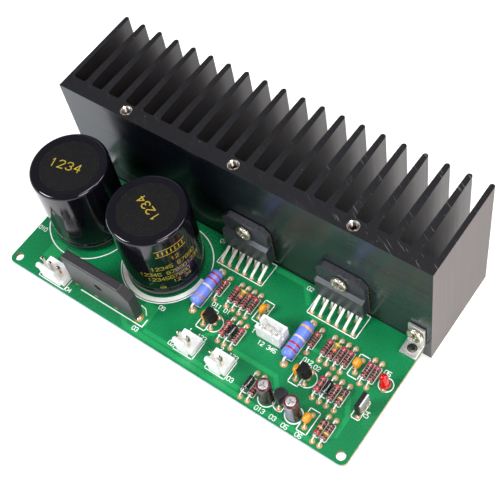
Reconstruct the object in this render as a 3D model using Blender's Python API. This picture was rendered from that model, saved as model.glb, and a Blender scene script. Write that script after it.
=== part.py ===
"""Audio amplifier board: a two-channel amplifier on one circuit board, screwed to a finned heatsink.

The frame has its origin under the middle of the heatsink's footprint, +X along the heatsink, +Y towards
its fins and +Z up. Every piece hangs on an empty at the board's front left corner, on its top face, so
places on the board are read as on its drawing: x along the board, y towards the heatsink, z up.
"""

import math

import bmesh
import bpy
from mathutils import Matrix, Vector

MM = 0.001

# Clearances
SEAT = 0.3 * MM
HOLE_PLAY = 0.3 * MM
WELD = 0.001 * MM

# Circuit board, as long and as deep as the layout at the end of these sizes makes it
BOARD_THICKNESS = 1.6 * MM
BOARD_CORNER = 2.5 * MM
BOARD_CORNER_STEPS = 4
BOARD_HEIGHT = 7.8 * MM
MOUNT_HOLE_DIAMETER = 3.4 * MM
MOUNT_HOLE_INSET = 3.0 * MM
LEAD_BELOW_BOARD = 1.4 * MM

# Heatsink
FIN_COUNT = 20
FIN_ROOT = 3.0 * MM
FIN_TIP = 2.0 * MM
END_FIN = 1.9 * MM
FIN_ROOT_CHAMFER = 0.6 * MM
FIN_TIP_STEPS = 4
SINK_BASE = 5.9 * MM
SINK_DEPTH = 38.8 * MM
SINK_HEIGHT = 55.7 * MM
SINK_OVERHANG = 0.9 * MM
SINK_OVERHANG_RIGHT = 1.96 * MM
SINK_TOP = SINK_HEIGHT - BOARD_HEIGHT
TAPPED_HOLE_DIAMETER = 3.4 * MM
TAPPED_HOLE_DEPTH = 8.0 * MM
TAPPED_HOLE_PITCH = 47.3 * MM
TAPPED_HOLE_COUNT = 3
TAPPED_HOLE_SHIFT = -0.3 * MM

# Screws
SHANK_DIAMETER = 3.0 * MM
HEAD_DIAMETER = 5.9 * MM
HEAD_HEIGHT = 2.2 * MM
CROSS_SLOT = 0.9 * MM
CROSS_SPAN = 3.2 * MM
CROSS_DEPTH = 1.3 * MM
SCREW_LENGTH = 7.6 * MM
SCREW_TIP_ROOM = 0.4 * MM
SCREW_SIDES = 12

# Angle brackets between board and heatsink
BRACKET_WIDTH = 6.4 * MM
BRACKET_FOOT = 6.9 * MM
BRACKET_SHEET = 1.0 * MM
BRACKET_LEG = 11.2 * MM
BRACKET_INSET = 0.1 * MM
BRACKET_FOOT_HOLE = 3.4 * MM
BRACKET_WALL_HOLE = 6.9 * MM

# Power amplifier chips
CHIP_WIDTH = 19.5 * MM
CHIP_BOTTOM = 4.2 * MM
CHIP_HEIGHT = 18.5 * MM
CHIP_THICKNESS = 4.3 * MM
CHIP_TAB_THICKNESS = 2.6 * MM
CHIP_STEP = 9.6 * MM
CHIP_STEP_RISE = 0.8 * MM
CHIP_CORNER = 2.4 * MM
CHIP_SCREW_HEIGHT = 13.8 * MM
CHIP_SIDE_NOTCH = 1.2 * MM
CHIP_NOTCH_SIDES = 6
CHIP_FRONT_LEAD_COUNT = 6
CHIP_LEAD_PITCH = 3.4 * MM
CHIP_LEAD_WIDTH = 0.9 * MM
CHIP_LEAD_THICKNESS = 0.5 * MM
CHIP_FRONT_ROW_FROM_EDGE = 9.5 * MM
CHIP_REAR_ROW_FROM_EDGE = 4.5 * MM
CHIP_LEAD_FROM_BACK = 3.2 * MM
CHIP_LEAD_GRIP = 1.3 * MM
CHIP_LEAD_DROP = 0.9 * MM

# Filter capacitors
CAN_DIAMETER = 29.7 * MM
CAN_HEIGHT = 35.2 * MM
CAN_ROUND = 1.8 * MM
CAN_RIM = 2.3 * MM
CAN_RIM_DEPTH = 0.9 * MM
CAN_CRIMP_HEIGHT = 5.0 * MM
CAN_CRIMP_WIDTH = 1.6 * MM
CAN_CRIMP_DEPTH = 0.5 * MM
CAN_SIDES = 28
CAN_PIN_PITCH = 10.0 * MM
CAN_PIN_WIDTH = 1.6 * MM
CAN_PIN_THICKNESS = 0.8 * MM
DISC_THICKNESS = 0.5 * MM

# Bridge rectifier
BRIDGE_FRONT = 5.0 * MM
BRIDGE_WIDTH = 31.0 * MM
BRIDGE_THICKNESS = 4.0 * MM
BRIDGE_BOTTOM = 2.0 * MM
BRIDGE_HEIGHT = 17.0 * MM
BRIDGE_CORNER = 4.4 * MM
BRIDGE_EDGE = 0.5 * MM
BRIDGE_HOLE_DIAMETER = 3.2 * MM
BRIDGE_HOLE_HEIGHT = 9.2 * MM
BRIDGE_LEAD_COUNT = 4
BRIDGE_LEAD_INSET = 0.95 * MM
BRIDGE_LEAD_WIDTH = 1.2 * MM
BRIDGE_LEAD_THICKNESS = 0.8 * MM

# Quarter-watt resistors and diodes
LEAD_DIAMETER = 0.55 * MM
AXIAL_PITCH = 10.16 * MM
AXIAL_SPACING = 0.5 * MM
AXIAL_SIDES = 8
RESISTOR_DIAMETER = 2.3 * MM
RESISTOR_WAIST = 1.95 * MM
RESISTOR_LENGTH = 6.2 * MM
RESISTOR_END = 1.7 * MM
DIODE_DIAMETER = 2.5 * MM
DIODE_LENGTH = 5.2 * MM
COLUMN_PITCH = RESISTOR_DIAMETER + AXIAL_SPACING
BACK_COLUMN_COUNT = 4
LAMP_COLUMN_COUNT = 2

# Power resistors
POWER_DIAMETER = 4.9 * MM
POWER_LENGTH = 15.2 * MM
POWER_LEAD = 0.8 * MM
POWER_PITCH = 18.2 * MM
POWER_SIDES = 14

# Ceramic capacitors
CERAMIC_WIDTH = 4.2 * MM
CERAMIC_THICKNESS = 2.6 * MM
CERAMIC_HEIGHT = 4.6 * MM
CERAMIC_BOTTOM = 0.8 * MM
CERAMIC_PITCH = 5.08 * MM
CERAMIC_RING_COUNT = 5
CERAMIC_SIDES = 10

# Small transistors
TRANSISTOR_DIAMETER = 4.6 * MM
TRANSISTOR_FLAT = 1.4 * MM
TRANSISTOR_BOTTOM = 2.6 * MM
TRANSISTOR_HEIGHT = 4.8 * MM
TRANSISTOR_PITCH = 2.6 * MM
TRANSISTOR_STEPS = 7

# Power transistor with a metal tab
TAB_BODY_WIDTH = 6.2 * MM
TAB_BODY_THICKNESS = 1.7 * MM
TAB_BODY_BOTTOM = 2.2 * MM
TAB_BODY_HEIGHT = 6.4 * MM
TAB_WIDTH = 5.3 * MM
TAB_THICKNESS = 0.6 * MM
TAB_RISE = 0.7 * MM

# Small electrolytic capacitors
SMALL_CAN_DIAMETER = 5.3 * MM
SMALL_CAN_HEIGHT = 10.9 * MM
SMALL_CAN_ROUND = 0.5 * MM
SMALL_CAN_RIM = 0.6 * MM
SMALL_CAN_RIM_DEPTH = 0.3 * MM
SMALL_CAN_PITCH = 2.5 * MM
SMALL_CAN_SIDES = 16

# Indicator lamp
LAMP_DIAMETER = 3.1 * MM
LAMP_FLANGE = 3.9 * MM
LAMP_FLANGE_HEIGHT = 0.9 * MM
LAMP_HEIGHT = 5.2 * MM
LAMP_STANDOFF = 1.6 * MM
LAMP_LEAN = math.radians(12)
LAMP_LEAN_BACK = math.radians(8)
LAMP_PITCH = 2.54 * MM
LAMP_SIDES = 12

# Wire-to-board connectors with a friction wall
POWER_PIN_PITCH = 3.96 * MM
POWER_PIN = 1.1 * MM
POWER_PIN_TOP = 10.0 * MM
HOUSING_END = 2.0 * MM
HOUSING_FRONT = 2.3 * MM
HOUSING_BACK = 4.4 * MM
HOUSING_BASE = 2.8 * MM
WALL_FRONT = 3.0 * MM
WALL_THICKNESS = 1.4 * MM
WALL_HEIGHT = 9.0 * MM
WALL_END = 0.4 * MM
WALL_LIP = 0.7 * MM
WALL_LIP_HEIGHT = 2.2 * MM
BASE_SLOT_WIDTH = 1.0 * MM
BASE_SLOT_START = 0.9 * MM
BASE_SLOT_LENGTH = 2.2 * MM

# Shrouded input connector
INPUT_PITCH = 2.5 * MM
INPUT_PIN = 0.64 * MM
INPUT_PIN_COUNT = 3
INPUT_WIDTH = 10.1 * MM
INPUT_DEPTH = 5.75 * MM
INPUT_HEIGHT = 6.9 * MM
INPUT_WALL = 0.85 * MM
INPUT_FLOOR = 1.5 * MM
INPUT_PIN_FROM_FRONT = 2.35 * MM
INPUT_PIN_TOP = 6.0 * MM
INPUT_NOTCH_WIDTH = 1.1 * MM
INPUT_NOTCH_HEIGHT = 3.4 * MM
INPUT_SLOT_OFFSET = 2.1 * MM
INPUT_SLOT_WIDTH = 0.8 * MM

# Layout across the board, from its front edge (y = 0) to the heatsink
FRONT_MARGIN = 1.94 * MM
ROW_GAP = 2.6 * MM
CHIP_ROW_GAP = 4.08 * MM
BRIDGE_TO_CAN = 6.95 * MM
CAN_TO_EDGE = 5.55 * MM
SUPPLY_STACK = BRIDGE_FRONT + BRIDGE_THICKNESS + BRIDGE_TO_CAN + CAN_DIAMETER + CAN_TO_EDGE
ROW_STACK = FRONT_MARGIN + 3 * AXIAL_PITCH + 2 * ROW_GAP + CHIP_ROW_GAP + CHIP_FRONT_ROW_FROM_EDGE
BOARD_DEPTH = max(SUPPLY_STACK, ROW_STACK)
SINK_FRONT = BOARD_DEPTH + SEAT
CAN_Y = BOARD_DEPTH - CAN_TO_EDGE - CAN_DIAMETER / 2
CHIP_FRONT_ROW_Y = BOARD_DEPTH - CHIP_FRONT_ROW_FROM_EDGE
CHIP_REAR_ROW_Y = BOARD_DEPTH - CHIP_REAR_ROW_FROM_EDGE
BACK_ROW_Y = CHIP_FRONT_ROW_Y - CHIP_ROW_GAP - AXIAL_PITCH / 2
MIDDLE_ROW_Y = BACK_ROW_Y - AXIAL_PITCH - ROW_GAP
FRONT_ROW_Y = FRONT_MARGIN + AXIAL_PITCH / 2

# How far some parts stand before or behind the middle of their row
POWER_BEFORE_BACK_ROW = 3.6 * MM
INPUT_BEFORE_BACK_ROW = 6.5 * MM
LAMP_BEFORE_BACK_ROW = 1.5 * MM
SMALL_CAN_BEFORE_FRONT_ROW = 0.7 * MM
MUTE_TRANSISTOR_BEHIND_FRONT_ROW = 1.0 * MM
SUPPLY_Y = 4.3 * MM
OUTPUT_Y = 7.2 * MM

# Layout along the board: the supply's parts from its left end
EDGE_TO_CAN = 2.55 * MM
CAN_GAP = 7.0 * MM
EDGE_TO_SUPPLY = 15.54 * MM
SUPPLY_TO_BRIDGE = 2.24 * MM
CAN_TO_POWER = 3.15 * MM
CAN_XS = (EDGE_TO_CAN + CAN_DIAMETER / 2, EDGE_TO_CAN + CAN_DIAMETER * 1.5 + CAN_GAP)
SUPPLY_X = EDGE_TO_SUPPLY + POWER_PIN_PITCH + HOUSING_END
BRIDGE_X = SUPPLY_X + POWER_PIN_PITCH + HOUSING_END + SUPPLY_TO_BRIDGE + BRIDGE_WIDTH / 2

# Then the channels, each as wide as its parts, with the input connector between the two
CHANNEL_COUNT = 2
POWER_TO_CHIP_MIDDLE = 5.45 * MM
POWER_TO_GAIN = 0.55 * MM
GAIN_TO_BACK_COLUMNS = 3.0 * MM
BACK_COLUMNS_TO_CERAMIC = 1.95 * MM
POWER_TO_CERAMIC = 2.9 * MM
CERAMIC_TO_TRANSISTOR = 0.7 * MM
TRANSISTOR_TO_COLUMNS = 1.55 * MM
CERAMIC_TO_INPUT = 2.25 * MM
INPUT_TO_POWER = 1.65 * MM
CHIP_MIDDLE_TO_OUTPUT = 2.0 * MM
OUTPUT_SPACING = 14.15 * MM
POWER_X = CAN_XS[1] + CAN_DIAMETER / 2 + CAN_TO_POWER + POWER_DIAMETER / 2
CHIP_X = POWER_X + POWER_TO_CHIP_MIDDLE
OUTPUT_X = CHIP_X + CHIP_MIDDLE_TO_OUTPUT
GAIN_X = POWER_X + POWER_DIAMETER / 2 + POWER_TO_GAIN + RESISTOR_DIAMETER / 2
BACK_COLUMNS_X = GAIN_X + RESISTOR_DIAMETER + GAIN_TO_BACK_COLUMNS
BACK_COLUMNS_END = BACK_COLUMNS_X + (BACK_COLUMN_COUNT - 1) * COLUMN_PITCH + RESISTOR_DIAMETER / 2
BACK_CERAMIC_X = BACK_COLUMNS_END + BACK_COLUMNS_TO_CERAMIC + CERAMIC_THICKNESS / 2
CERAMIC_X = POWER_X + POWER_DIAMETER / 2 + POWER_TO_CERAMIC + CERAMIC_THICKNESS / 2
TRANSISTOR_X = CERAMIC_X + CERAMIC_THICKNESS / 2 + CERAMIC_TO_TRANSISTOR + TRANSISTOR_FLAT
MIDDLE_COLUMNS_X = TRANSISTOR_X + (TRANSISTOR_DIAMETER + RESISTOR_DIAMETER) / 2 + TRANSISTOR_TO_COLUMNS
INPUT_X = BACK_CERAMIC_X + CERAMIC_THICKNESS / 2 + CERAMIC_TO_INPUT + INPUT_WIDTH / 2
CHANNEL_PITCH = INPUT_X + INPUT_WIDTH / 2 + INPUT_TO_POWER + POWER_DIAMETER / 2 - POWER_X

# Then the right end, measured on from the last channel
POWER_BEYOND_DIODE = 5.65 * MM
DIODE_TO_COLUMN = 0.6 * MM
COLUMN_TO_CAN = 1.3 * MM
CAN_TO_TRANSISTOR = 0.55 * MM
TRANSISTOR_TO_CAN = 1.55 * MM
CAN_TO_CERAMIC = 1.35 * MM
CERAMIC_TO_COLUMNS = 2.45 * MM
CERAMIC_TO_LAMP_COLUMNS = 0.95 * MM
COLUMNS_TO_LAMP = 2.1 * MM
TAB_BEFORE_LAMP = 1.1 * MM
LAMP_TO_EDGE = 1.65 * MM
LAST_CHANNEL = (CHANNEL_COUNT - 1) * CHANNEL_PITCH
FRONT_DIODE_X = LAST_CHANNEL + POWER_X - POWER_BEYOND_DIODE
FRONT_COLUMN_X = FRONT_DIODE_X + (DIODE_DIAMETER + RESISTOR_DIAMETER) / 2 + DIODE_TO_COLUMN
LEFT_CAN_X = FRONT_COLUMN_X + (RESISTOR_DIAMETER + SMALL_CAN_DIAMETER) / 2 + COLUMN_TO_CAN
MUTE_TRANSISTOR_X = LEFT_CAN_X + (SMALL_CAN_DIAMETER + TRANSISTOR_DIAMETER) / 2 + CAN_TO_TRANSISTOR
RIGHT_CAN_X = MUTE_TRANSISTOR_X + TRANSISTOR_FLAT + TRANSISTOR_TO_CAN + SMALL_CAN_DIAMETER / 2
FRONT_CERAMIC_X = RIGHT_CAN_X + (SMALL_CAN_DIAMETER + CERAMIC_THICKNESS) / 2 + CAN_TO_CERAMIC
MUTE_COLUMNS_X = FRONT_CERAMIC_X + (CERAMIC_THICKNESS + RESISTOR_DIAMETER) / 2 + CERAMIC_TO_COLUMNS
CHANNELS_END = LAST_CHANNEL + BACK_CERAMIC_X + CERAMIC_THICKNESS / 2
LAMP_COLUMNS_X = CHANNELS_END + CERAMIC_TO_LAMP_COLUMNS + RESISTOR_DIAMETER / 2
LAMP_COLUMNS_END = LAMP_COLUMNS_X + (LAMP_COLUMN_COUNT - 1) * COLUMN_PITCH + RESISTOR_DIAMETER / 2
LAMP_X = LAMP_COLUMNS_END + COLUMNS_TO_LAMP + LAMP_FLANGE / 2
TAB_X = LAMP_X - TAB_BEFORE_LAMP
BOARD_LENGTH = LAMP_X + LAMP_FLANGE / 2 + LAMP_TO_EDGE
SINK_LENGTH = SINK_OVERHANG + BOARD_LENGTH + SINK_OVERHANG_RIGHT
FIN_PITCH = (SINK_LENGTH - END_FIN) / (FIN_COUNT - 1)


def finish(name, colour, roughness, metallic=0.0):
    """A material with one plain colour, given as it looks (sRGB, 0 to 255)."""
    material = bpy.data.materials.new(name)
    material.use_nodes = True
    shader = material.node_tree.nodes["Principled BSDF"]
    linear = [(channel / 255) ** 2.2 for channel in colour]
    shader.inputs["Base Color"].default_value = (*linear, 1)
    shader.inputs["Roughness"].default_value = roughness
    shader.inputs["Metallic"].default_value = metallic
    return material


def mesh_from(bm):
    """The mesh of a bmesh, with its faces pointing out."""
    bmesh.ops.recalc_face_normals(bm, faces=bm.faces)
    mesh = bpy.data.meshes.new("shape")
    bm.to_mesh(mesh)
    bm.free()
    return mesh


def prism(outline, low, high, axis="Z"):
    """An outline extruded between two levels of an axis: (x, y) for Z, (x, z) for Y, (y, z) for X."""
    place = {
        "X": lambda u, v, w: (w, u, v),
        "Y": lambda u, v, w: (u, w, v),
        "Z": lambda u, v, w: (u, v, w),
    }[axis]
    bm = bmesh.new()
    face = bm.faces.new([bm.verts.new(place(u, v, low)) for u, v in outline])
    grown = bmesh.ops.extrude_face_region(bm, geom=[face])
    moved = [item for item in grown["geom"] if isinstance(item, bmesh.types.BMVert)]
    bmesh.ops.translate(bm, verts=moved, vec=place(0, 0, high - low))
    return mesh_from(bm)


def block(x, y, z):
    """A box between three (low, high) pairs."""
    return prism([(x[0], y[0]), (x[1], y[0]), (x[1], y[1]), (x[0], y[1])], *z)


def turned(profile, sides):
    """A solid turned about Z from (radius, height) points that start and end on the axis."""
    bm = bmesh.new()
    points = [bm.verts.new((radius, 0, height)) for radius, height in profile]
    lines = [bm.edges.new(pair) for pair in zip(points, points[1:])]
    bmesh.ops.spin(
        bm,
        geom=points + lines,
        cent=(0, 0, 0),
        axis=(0, 0, 1),
        angle=math.tau,
        steps=sides,
        use_merge=True,
    )
    bmesh.ops.remove_doubles(bm, verts=bm.verts, dist=WELD)
    return mesh_from(bm)


def moved(mesh, matrix):
    """A copy of a mesh, moved by a matrix."""
    copy = mesh.copy()
    copy.transform(matrix)
    return copy


def at(x=0.0, y=0.0, z=0.0):
    return Matrix.Translation((x, y, z))


def rod(diameter, length, sides, axis="Z"):
    """A round bar from the origin along an axis."""
    bar = turned([(0, 0), (diameter / 2, 0), (diameter / 2, length), (0, length)], sides)
    turn = {"Z": Matrix(), "Y": Matrix.Rotation(-math.pi / 2, 4, "X")}[axis]
    return moved(bar, turn)


def together(meshes):
    """Meshes put side by side in one mesh."""
    bm = bmesh.new()
    for mesh in meshes:
        bm.from_mesh(mesh)
    joined = bpy.data.meshes.new("shapes")
    bm.to_mesh(joined)
    bm.free()
    return joined


def carved(base, tools, operation="DIFFERENCE"):
    """The mesh of base, cut by, joined with or kept inside the tools, one after another."""
    body = bpy.data.objects.new("carved", base)
    bpy.context.collection.objects.link(body)
    helpers = []
    for tool in tools:
        helper = bpy.data.objects.new("tool", tool)
        helper.hide_render = True
        bpy.context.collection.objects.link(helper)
        helpers.append(helper)
        cut = body.modifiers.new("carve", "BOOLEAN")
        cut.operation = operation
        cut.solver = "EXACT"
        cut.object = helper
    graph = bpy.context.evaluated_depsgraph_get()
    result = bpy.data.meshes.new_from_object(body.evaluated_get(graph))
    for item in [body, *helpers]:
        bpy.data.objects.remove(item)
    return result


def ribbon(path, thickness):
    """The outline of a strip of even thickness along a bent centre line."""
    line = [Vector(point) for point in path]
    runs = [(after - before).normalized() for before, after in zip(line, line[1:])]
    sides = ([], [])
    for index, point in enumerate(line):
        first = runs[max(index - 1, 0)]
        second = runs[min(index, len(runs) - 1)]
        across = (first + second).normalized().orthogonal()
        reach = thickness / 2 / abs(across.dot(first.orthogonal()))
        for side, sign in zip(sides, (1, -1)):
            side.append(tuple(point + sign * reach * across))
    return sides[0] + sides[1][::-1]


def lead(path, width, thickness, x=0.0):
    """A bent lead in the plane of one x, from (y, z) points."""
    return prism(ribbon(path, thickness), x - width / 2, x + width / 2, "X")


def rounded(low, high, radius, steps):
    """The outline of a rectangle with round corners."""
    points = []
    corners = (
        (high[0] - radius, high[1] - radius, 0),
        (low[0] + radius, high[1] - radius, 1),
        (low[0] + radius, low[1] + radius, 2),
        (high[0] - radius, low[1] + radius, 3),
    )
    for x, y, quarter in corners:
        for step in range(steps + 1):
            angle = (quarter + step / steps) * math.pi / 2
            points.append((x + radius * math.cos(angle), y + radius * math.sin(angle)))
    return points


LEAD_END = -BOARD_THICKNESS - LEAD_BELOW_BOARD
lead_holes = []


def drill(x, y, width, thickness=None):
    """Notes a board hole that clears a lead of this section."""
    diagonal = math.hypot(width, width if thickness is None else thickness)
    lead_holes.append((x, y, diagonal + 2 * HOLE_PLAY))


def piece(name, mesh, material, location=(0, 0, 0), rotation=(0, 0, 0)):
    """One named object on the board's corner."""
    mesh.name = name
    mesh.materials.clear()
    mesh.materials.append(material)
    mesh.shade_smooth()
    mesh.set_sharp_from_angle(angle=math.radians(35))
    item = bpy.data.objects.new(name, mesh)
    item.parent = corner
    item.location = location
    item.rotation_euler = rotation
    bpy.context.collection.objects.link(item)
    return item


def fin_outline():
    """The heatsink's section: a straight front, and fins behind that narrow to round tips."""
    left = -SINK_OVERHANG
    right = left + SINK_LENGTH
    floor = SINK_FRONT + SINK_BASE
    tip = SINK_FRONT + SINK_DEPTH
    points = [(left, SINK_FRONT), (right, SINK_FRONT)]
    for index in reversed(range(FIN_COUNT)):
        centre = left + END_FIN / 2 + index * FIN_PITCH
        end = {FIN_COUNT - 1: 1, 0: -1}.get(index, 0)
        for side in (1, -1):
            if end == side:
                root = tip_half = END_FIN / 2
            else:
                root = (END_FIN if end else FIN_ROOT) / 2
                tip_half = (END_FIN if end else FIN_TIP) / 2
            shoulder = tip - (END_FIN if end else FIN_TIP) / 2
            foot = []
            if end != side:
                foot.append((centre + side * (root + FIN_ROOT_CHAMFER), floor))
                foot.append((centre + side * root, floor + FIN_ROOT_CHAMFER))
            arc = []
            for step in range(FIN_TIP_STEPS // 2):
                angle = step / (FIN_TIP_STEPS // 2) * math.pi / 2
                across = side * tip_half * math.cos(angle)
                arc.append((centre + across, shoulder + tip_half * math.sin(angle)))
            if side == 1:
                points += foot + arc + [(centre, tip)]
            else:
                points += arc[::-1] + foot[::-1]
    return points


def tapped_hole_places():
    middle = -SINK_OVERHANG + SINK_LENGTH / 2 + TAPPED_HOLE_SHIFT
    start = middle - (TAPPED_HOLE_COUNT - 1) / 2 * TAPPED_HOLE_PITCH
    y = SINK_FRONT + SINK_BASE / 2
    return [(start + index * TAPPED_HOLE_PITCH, y) for index in range(TAPPED_HOLE_COUNT)]


def chip_centres():
    return [CHIP_X + index * CHANNEL_PITCH for index in range(CHANNEL_COUNT)]


def bracket_centres():
    inset = BRACKET_INSET + BRACKET_WIDTH / 2
    return [inset, BOARD_LENGTH - inset]


def make_heatsink(material):
    blank = prism(fin_outline(), -BOARD_HEIGHT, SINK_TOP)
    bore = SHANK_DIAMETER + 2 * HOLE_PLAY
    tools = []
    for x, y in tapped_hole_places():
        hole = rod(TAPPED_HOLE_DIAMETER, 2 * TAPPED_HOLE_DEPTH, SCREW_SIDES)
        tools.append(moved(hole, at(x, y, SINK_TOP - TAPPED_HOLE_DEPTH)))
    chip_reach = SCREW_LENGTH - CHIP_TAB_THICKNESS - 2 * SEAT + SCREW_TIP_ROOM
    wall_reach = SCREW_LENGTH - BRACKET_SHEET - 2 * SEAT + SCREW_TIP_ROOM
    chip_level = CHIP_BOTTOM + CHIP_SCREW_HEIGHT
    front_holes = [(x, chip_level, chip_reach) for x in chip_centres()]
    front_holes += [(x, BRACKET_WALL_HOLE, wall_reach) for x in bracket_centres()]
    for x, z, reach in front_holes:
        hole = rod(bore, 2 * reach, SCREW_SIDES, "Y")
        tools.append(moved(hole, at(x, SINK_FRONT - reach, z)))
    piece("heatsink", carved(blank, [together(tools)]), material)


def make_screw():
    """A cross-recessed pan head screw along +Z, with the underside of its head at the origin."""
    shank = SHANK_DIAMETER / 2
    head = HEAD_DIAMETER / 2
    profile = [
        (0, -SCREW_LENGTH),
        (shank * 0.7, -SCREW_LENGTH),
        (shank, -SCREW_LENGTH + shank * 0.4),
        (shank, 0),
        (head, 0),
        (head, HEAD_HEIGHT * 0.45),
        (head * 0.8, HEAD_HEIGHT * 0.85),
        (head * 0.45, HEAD_HEIGHT),
        (0, HEAD_HEIGHT),
    ]
    depth = (HEAD_HEIGHT - CROSS_DEPTH, HEAD_HEIGHT * 2)
    long = (-CROSS_SPAN / 2, CROSS_SPAN / 2)
    short = (-CROSS_SLOT / 2, CROSS_SLOT / 2)
    cross = carved(block(long, short, depth), [block(short, long, depth)], "UNION")
    return carved(turned(profile, SCREW_SIDES), [cross])


def make_screws(material):
    screw = make_screw()
    facing_front = (math.pi / 2, 0, 0)
    chip_seat = SINK_FRONT - SEAT - CHIP_TAB_THICKNESS - SEAT
    for index, x in enumerate(chip_centres()):
        height = CHIP_BOTTOM + CHIP_SCREW_HEIGHT
        piece(f"chip_screw_{index + 1}", screw.copy(), material, (x, chip_seat, height), facing_front)
    wall_seat = SINK_FRONT - SEAT - BRACKET_SHEET - SEAT
    board_screw = make_board_screw()
    for side, x in zip(("left", "right"), bracket_centres()):
        place = (x, wall_seat, BRACKET_WALL_HOLE)
        piece(f"bracket_wall_screw_{side}", screw.copy(), material, place, facing_front)
        below = (x, bracket_foot_hole_y(), -BOARD_THICKNESS - SEAT)
        piece(f"bracket_board_screw_{side}", board_screw.copy(), material, below, (math.pi, 0, 0))


def bracket_foot_hole_y():
    return SINK_FRONT - SEAT - BRACKET_FOOT + BRACKET_FOOT_HOLE


def make_board_screw():
    """The same screw, cut short so that its tip ends inside the bracket's foot."""
    reach = SEAT + BOARD_THICKNESS + SEAT + BRACKET_SHEET - SCREW_TIP_ROOM
    beyond = (-HEAD_DIAMETER, HEAD_DIAMETER)
    return carved(make_screw(), [block(beyond, beyond, (-SCREW_LENGTH * 2, -reach))])


def make_brackets(material):
    """Steel angles: a foot on the board and a leg against the heatsink."""
    back = SINK_FRONT - SEAT
    front = back - BRACKET_FOOT
    inside = back - BRACKET_SHEET
    foot_top = SEAT + BRACKET_SHEET
    bend = BRACKET_SHEET * 0.5
    profile = [
        (front, SEAT),
        (back - bend, SEAT),
        (back, SEAT + bend),
        (back, BRACKET_LEG),
        (inside, BRACKET_LEG),
        (inside, foot_top + bend),
        (inside - bend, foot_top),
        (front, foot_top),
    ]
    half = BRACKET_WIDTH / 2
    bore = SHANK_DIAMETER + 2 * HOLE_PLAY
    start = back - BRACKET_SHEET * 3
    wall = moved(rod(bore, BRACKET_SHEET * 4, SCREW_SIDES, "Y"), at(0, start, BRACKET_WALL_HOLE))
    foot = moved(rod(bore, BRACKET_SHEET * 3, SCREW_SIDES), at(0, bracket_foot_hole_y(), -BRACKET_SHEET))
    angle = carved(prism(profile, -half, half, "X"), [together([wall, foot])])
    for side, x in zip(("left", "right"), bracket_centres()):
        piece(f"bracket_{side}", angle.copy(), material, (x, 0, 0))


def make_chip():
    """The chip's body and leads, with x measured from its middle."""
    half = CHIP_WIDTH / 2
    back = SINK_FRONT - SEAT
    front = back - CHIP_THICKNESS
    tab = back - CHIP_TAB_THICKNESS
    top = CHIP_BOTTOM + CHIP_HEIGHT
    step = CHIP_BOTTOM + CHIP_STEP
    side = [
        (back, CHIP_BOTTOM),
        (back, top),
        (tab, top),
        (tab, step + CHIP_STEP_RISE / 2),
        (front, step - CHIP_STEP_RISE / 2),
        (front, CHIP_BOTTOM),
    ]
    face = [
        (-half, CHIP_BOTTOM),
        (half, CHIP_BOTTOM),
        (half, top - CHIP_CORNER),
        (half - CHIP_CORNER, top),
        (CHIP_CORNER - half, top),
        (-half, top - CHIP_CORNER),
    ]
    beyond = CHIP_THICKNESS * 2
    outline = prism(face, front - beyond, back + beyond, "Y")
    body = carved(prism(side, -half, half, "X"), [outline], "INTERSECT")
    bore = rod(SHANK_DIAMETER + 2 * HOLE_PLAY, beyond * 2, SCREW_SIDES, "Y")
    hole = moved(bore, at(0, tab - beyond, CHIP_BOTTOM + CHIP_SCREW_HEIGHT))
    round_notch = rod(CHIP_SIDE_NOTCH, beyond * 2, CHIP_NOTCH_SIDES, "Y")
    level = step + CHIP_SIDE_NOTCH
    notches = [moved(round_notch, at(sign * half, tab - beyond, level)) for sign in (1, -1)]
    body = carved(body, [together([hole, *notches])])
    leads = [chip_lead(x, back - CHIP_LEAD_FROM_BACK, row_y) for x, row_y in chip_lead_places()]
    return carved(body, [together(leads)], "UNION")


def chip_lead_places():
    """Where the leads pass the board: a front row, and a rear row of one less, in step between it."""
    places = []
    rows = ((CHIP_FRONT_ROW_Y, CHIP_FRONT_LEAD_COUNT), (CHIP_REAR_ROW_Y, CHIP_FRONT_LEAD_COUNT - 1))
    for row_y, count in rows:
        places += [((index - (count - 1) / 2) * CHIP_LEAD_PITCH, row_y) for index in range(count)]
    return places


def chip_lead(x, exit_y, row_y):
    """One lead: out of the chip's underside, forward, and down through the board."""
    path = [
        (exit_y, CHIP_BOTTOM + CHIP_LEAD_GRIP),
        (exit_y, CHIP_BOTTOM - CHIP_LEAD_DROP / 2),
        (row_y, CHIP_LEAD_DROP),
        (row_y, LEAD_END),
    ]
    return lead(path, CHIP_LEAD_WIDTH, CHIP_LEAD_THICKNESS, x)


def make_chips(material):
    chip = make_chip()
    for index, centre in enumerate(chip_centres()):
        piece(f"amplifier_chip_{index + 1}", chip.copy(), material, (centre, 0, 0))
        for x, row_y in chip_lead_places():
            drill(centre + x, row_y, CHIP_LEAD_WIDTH, CHIP_LEAD_THICKNESS)


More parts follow.
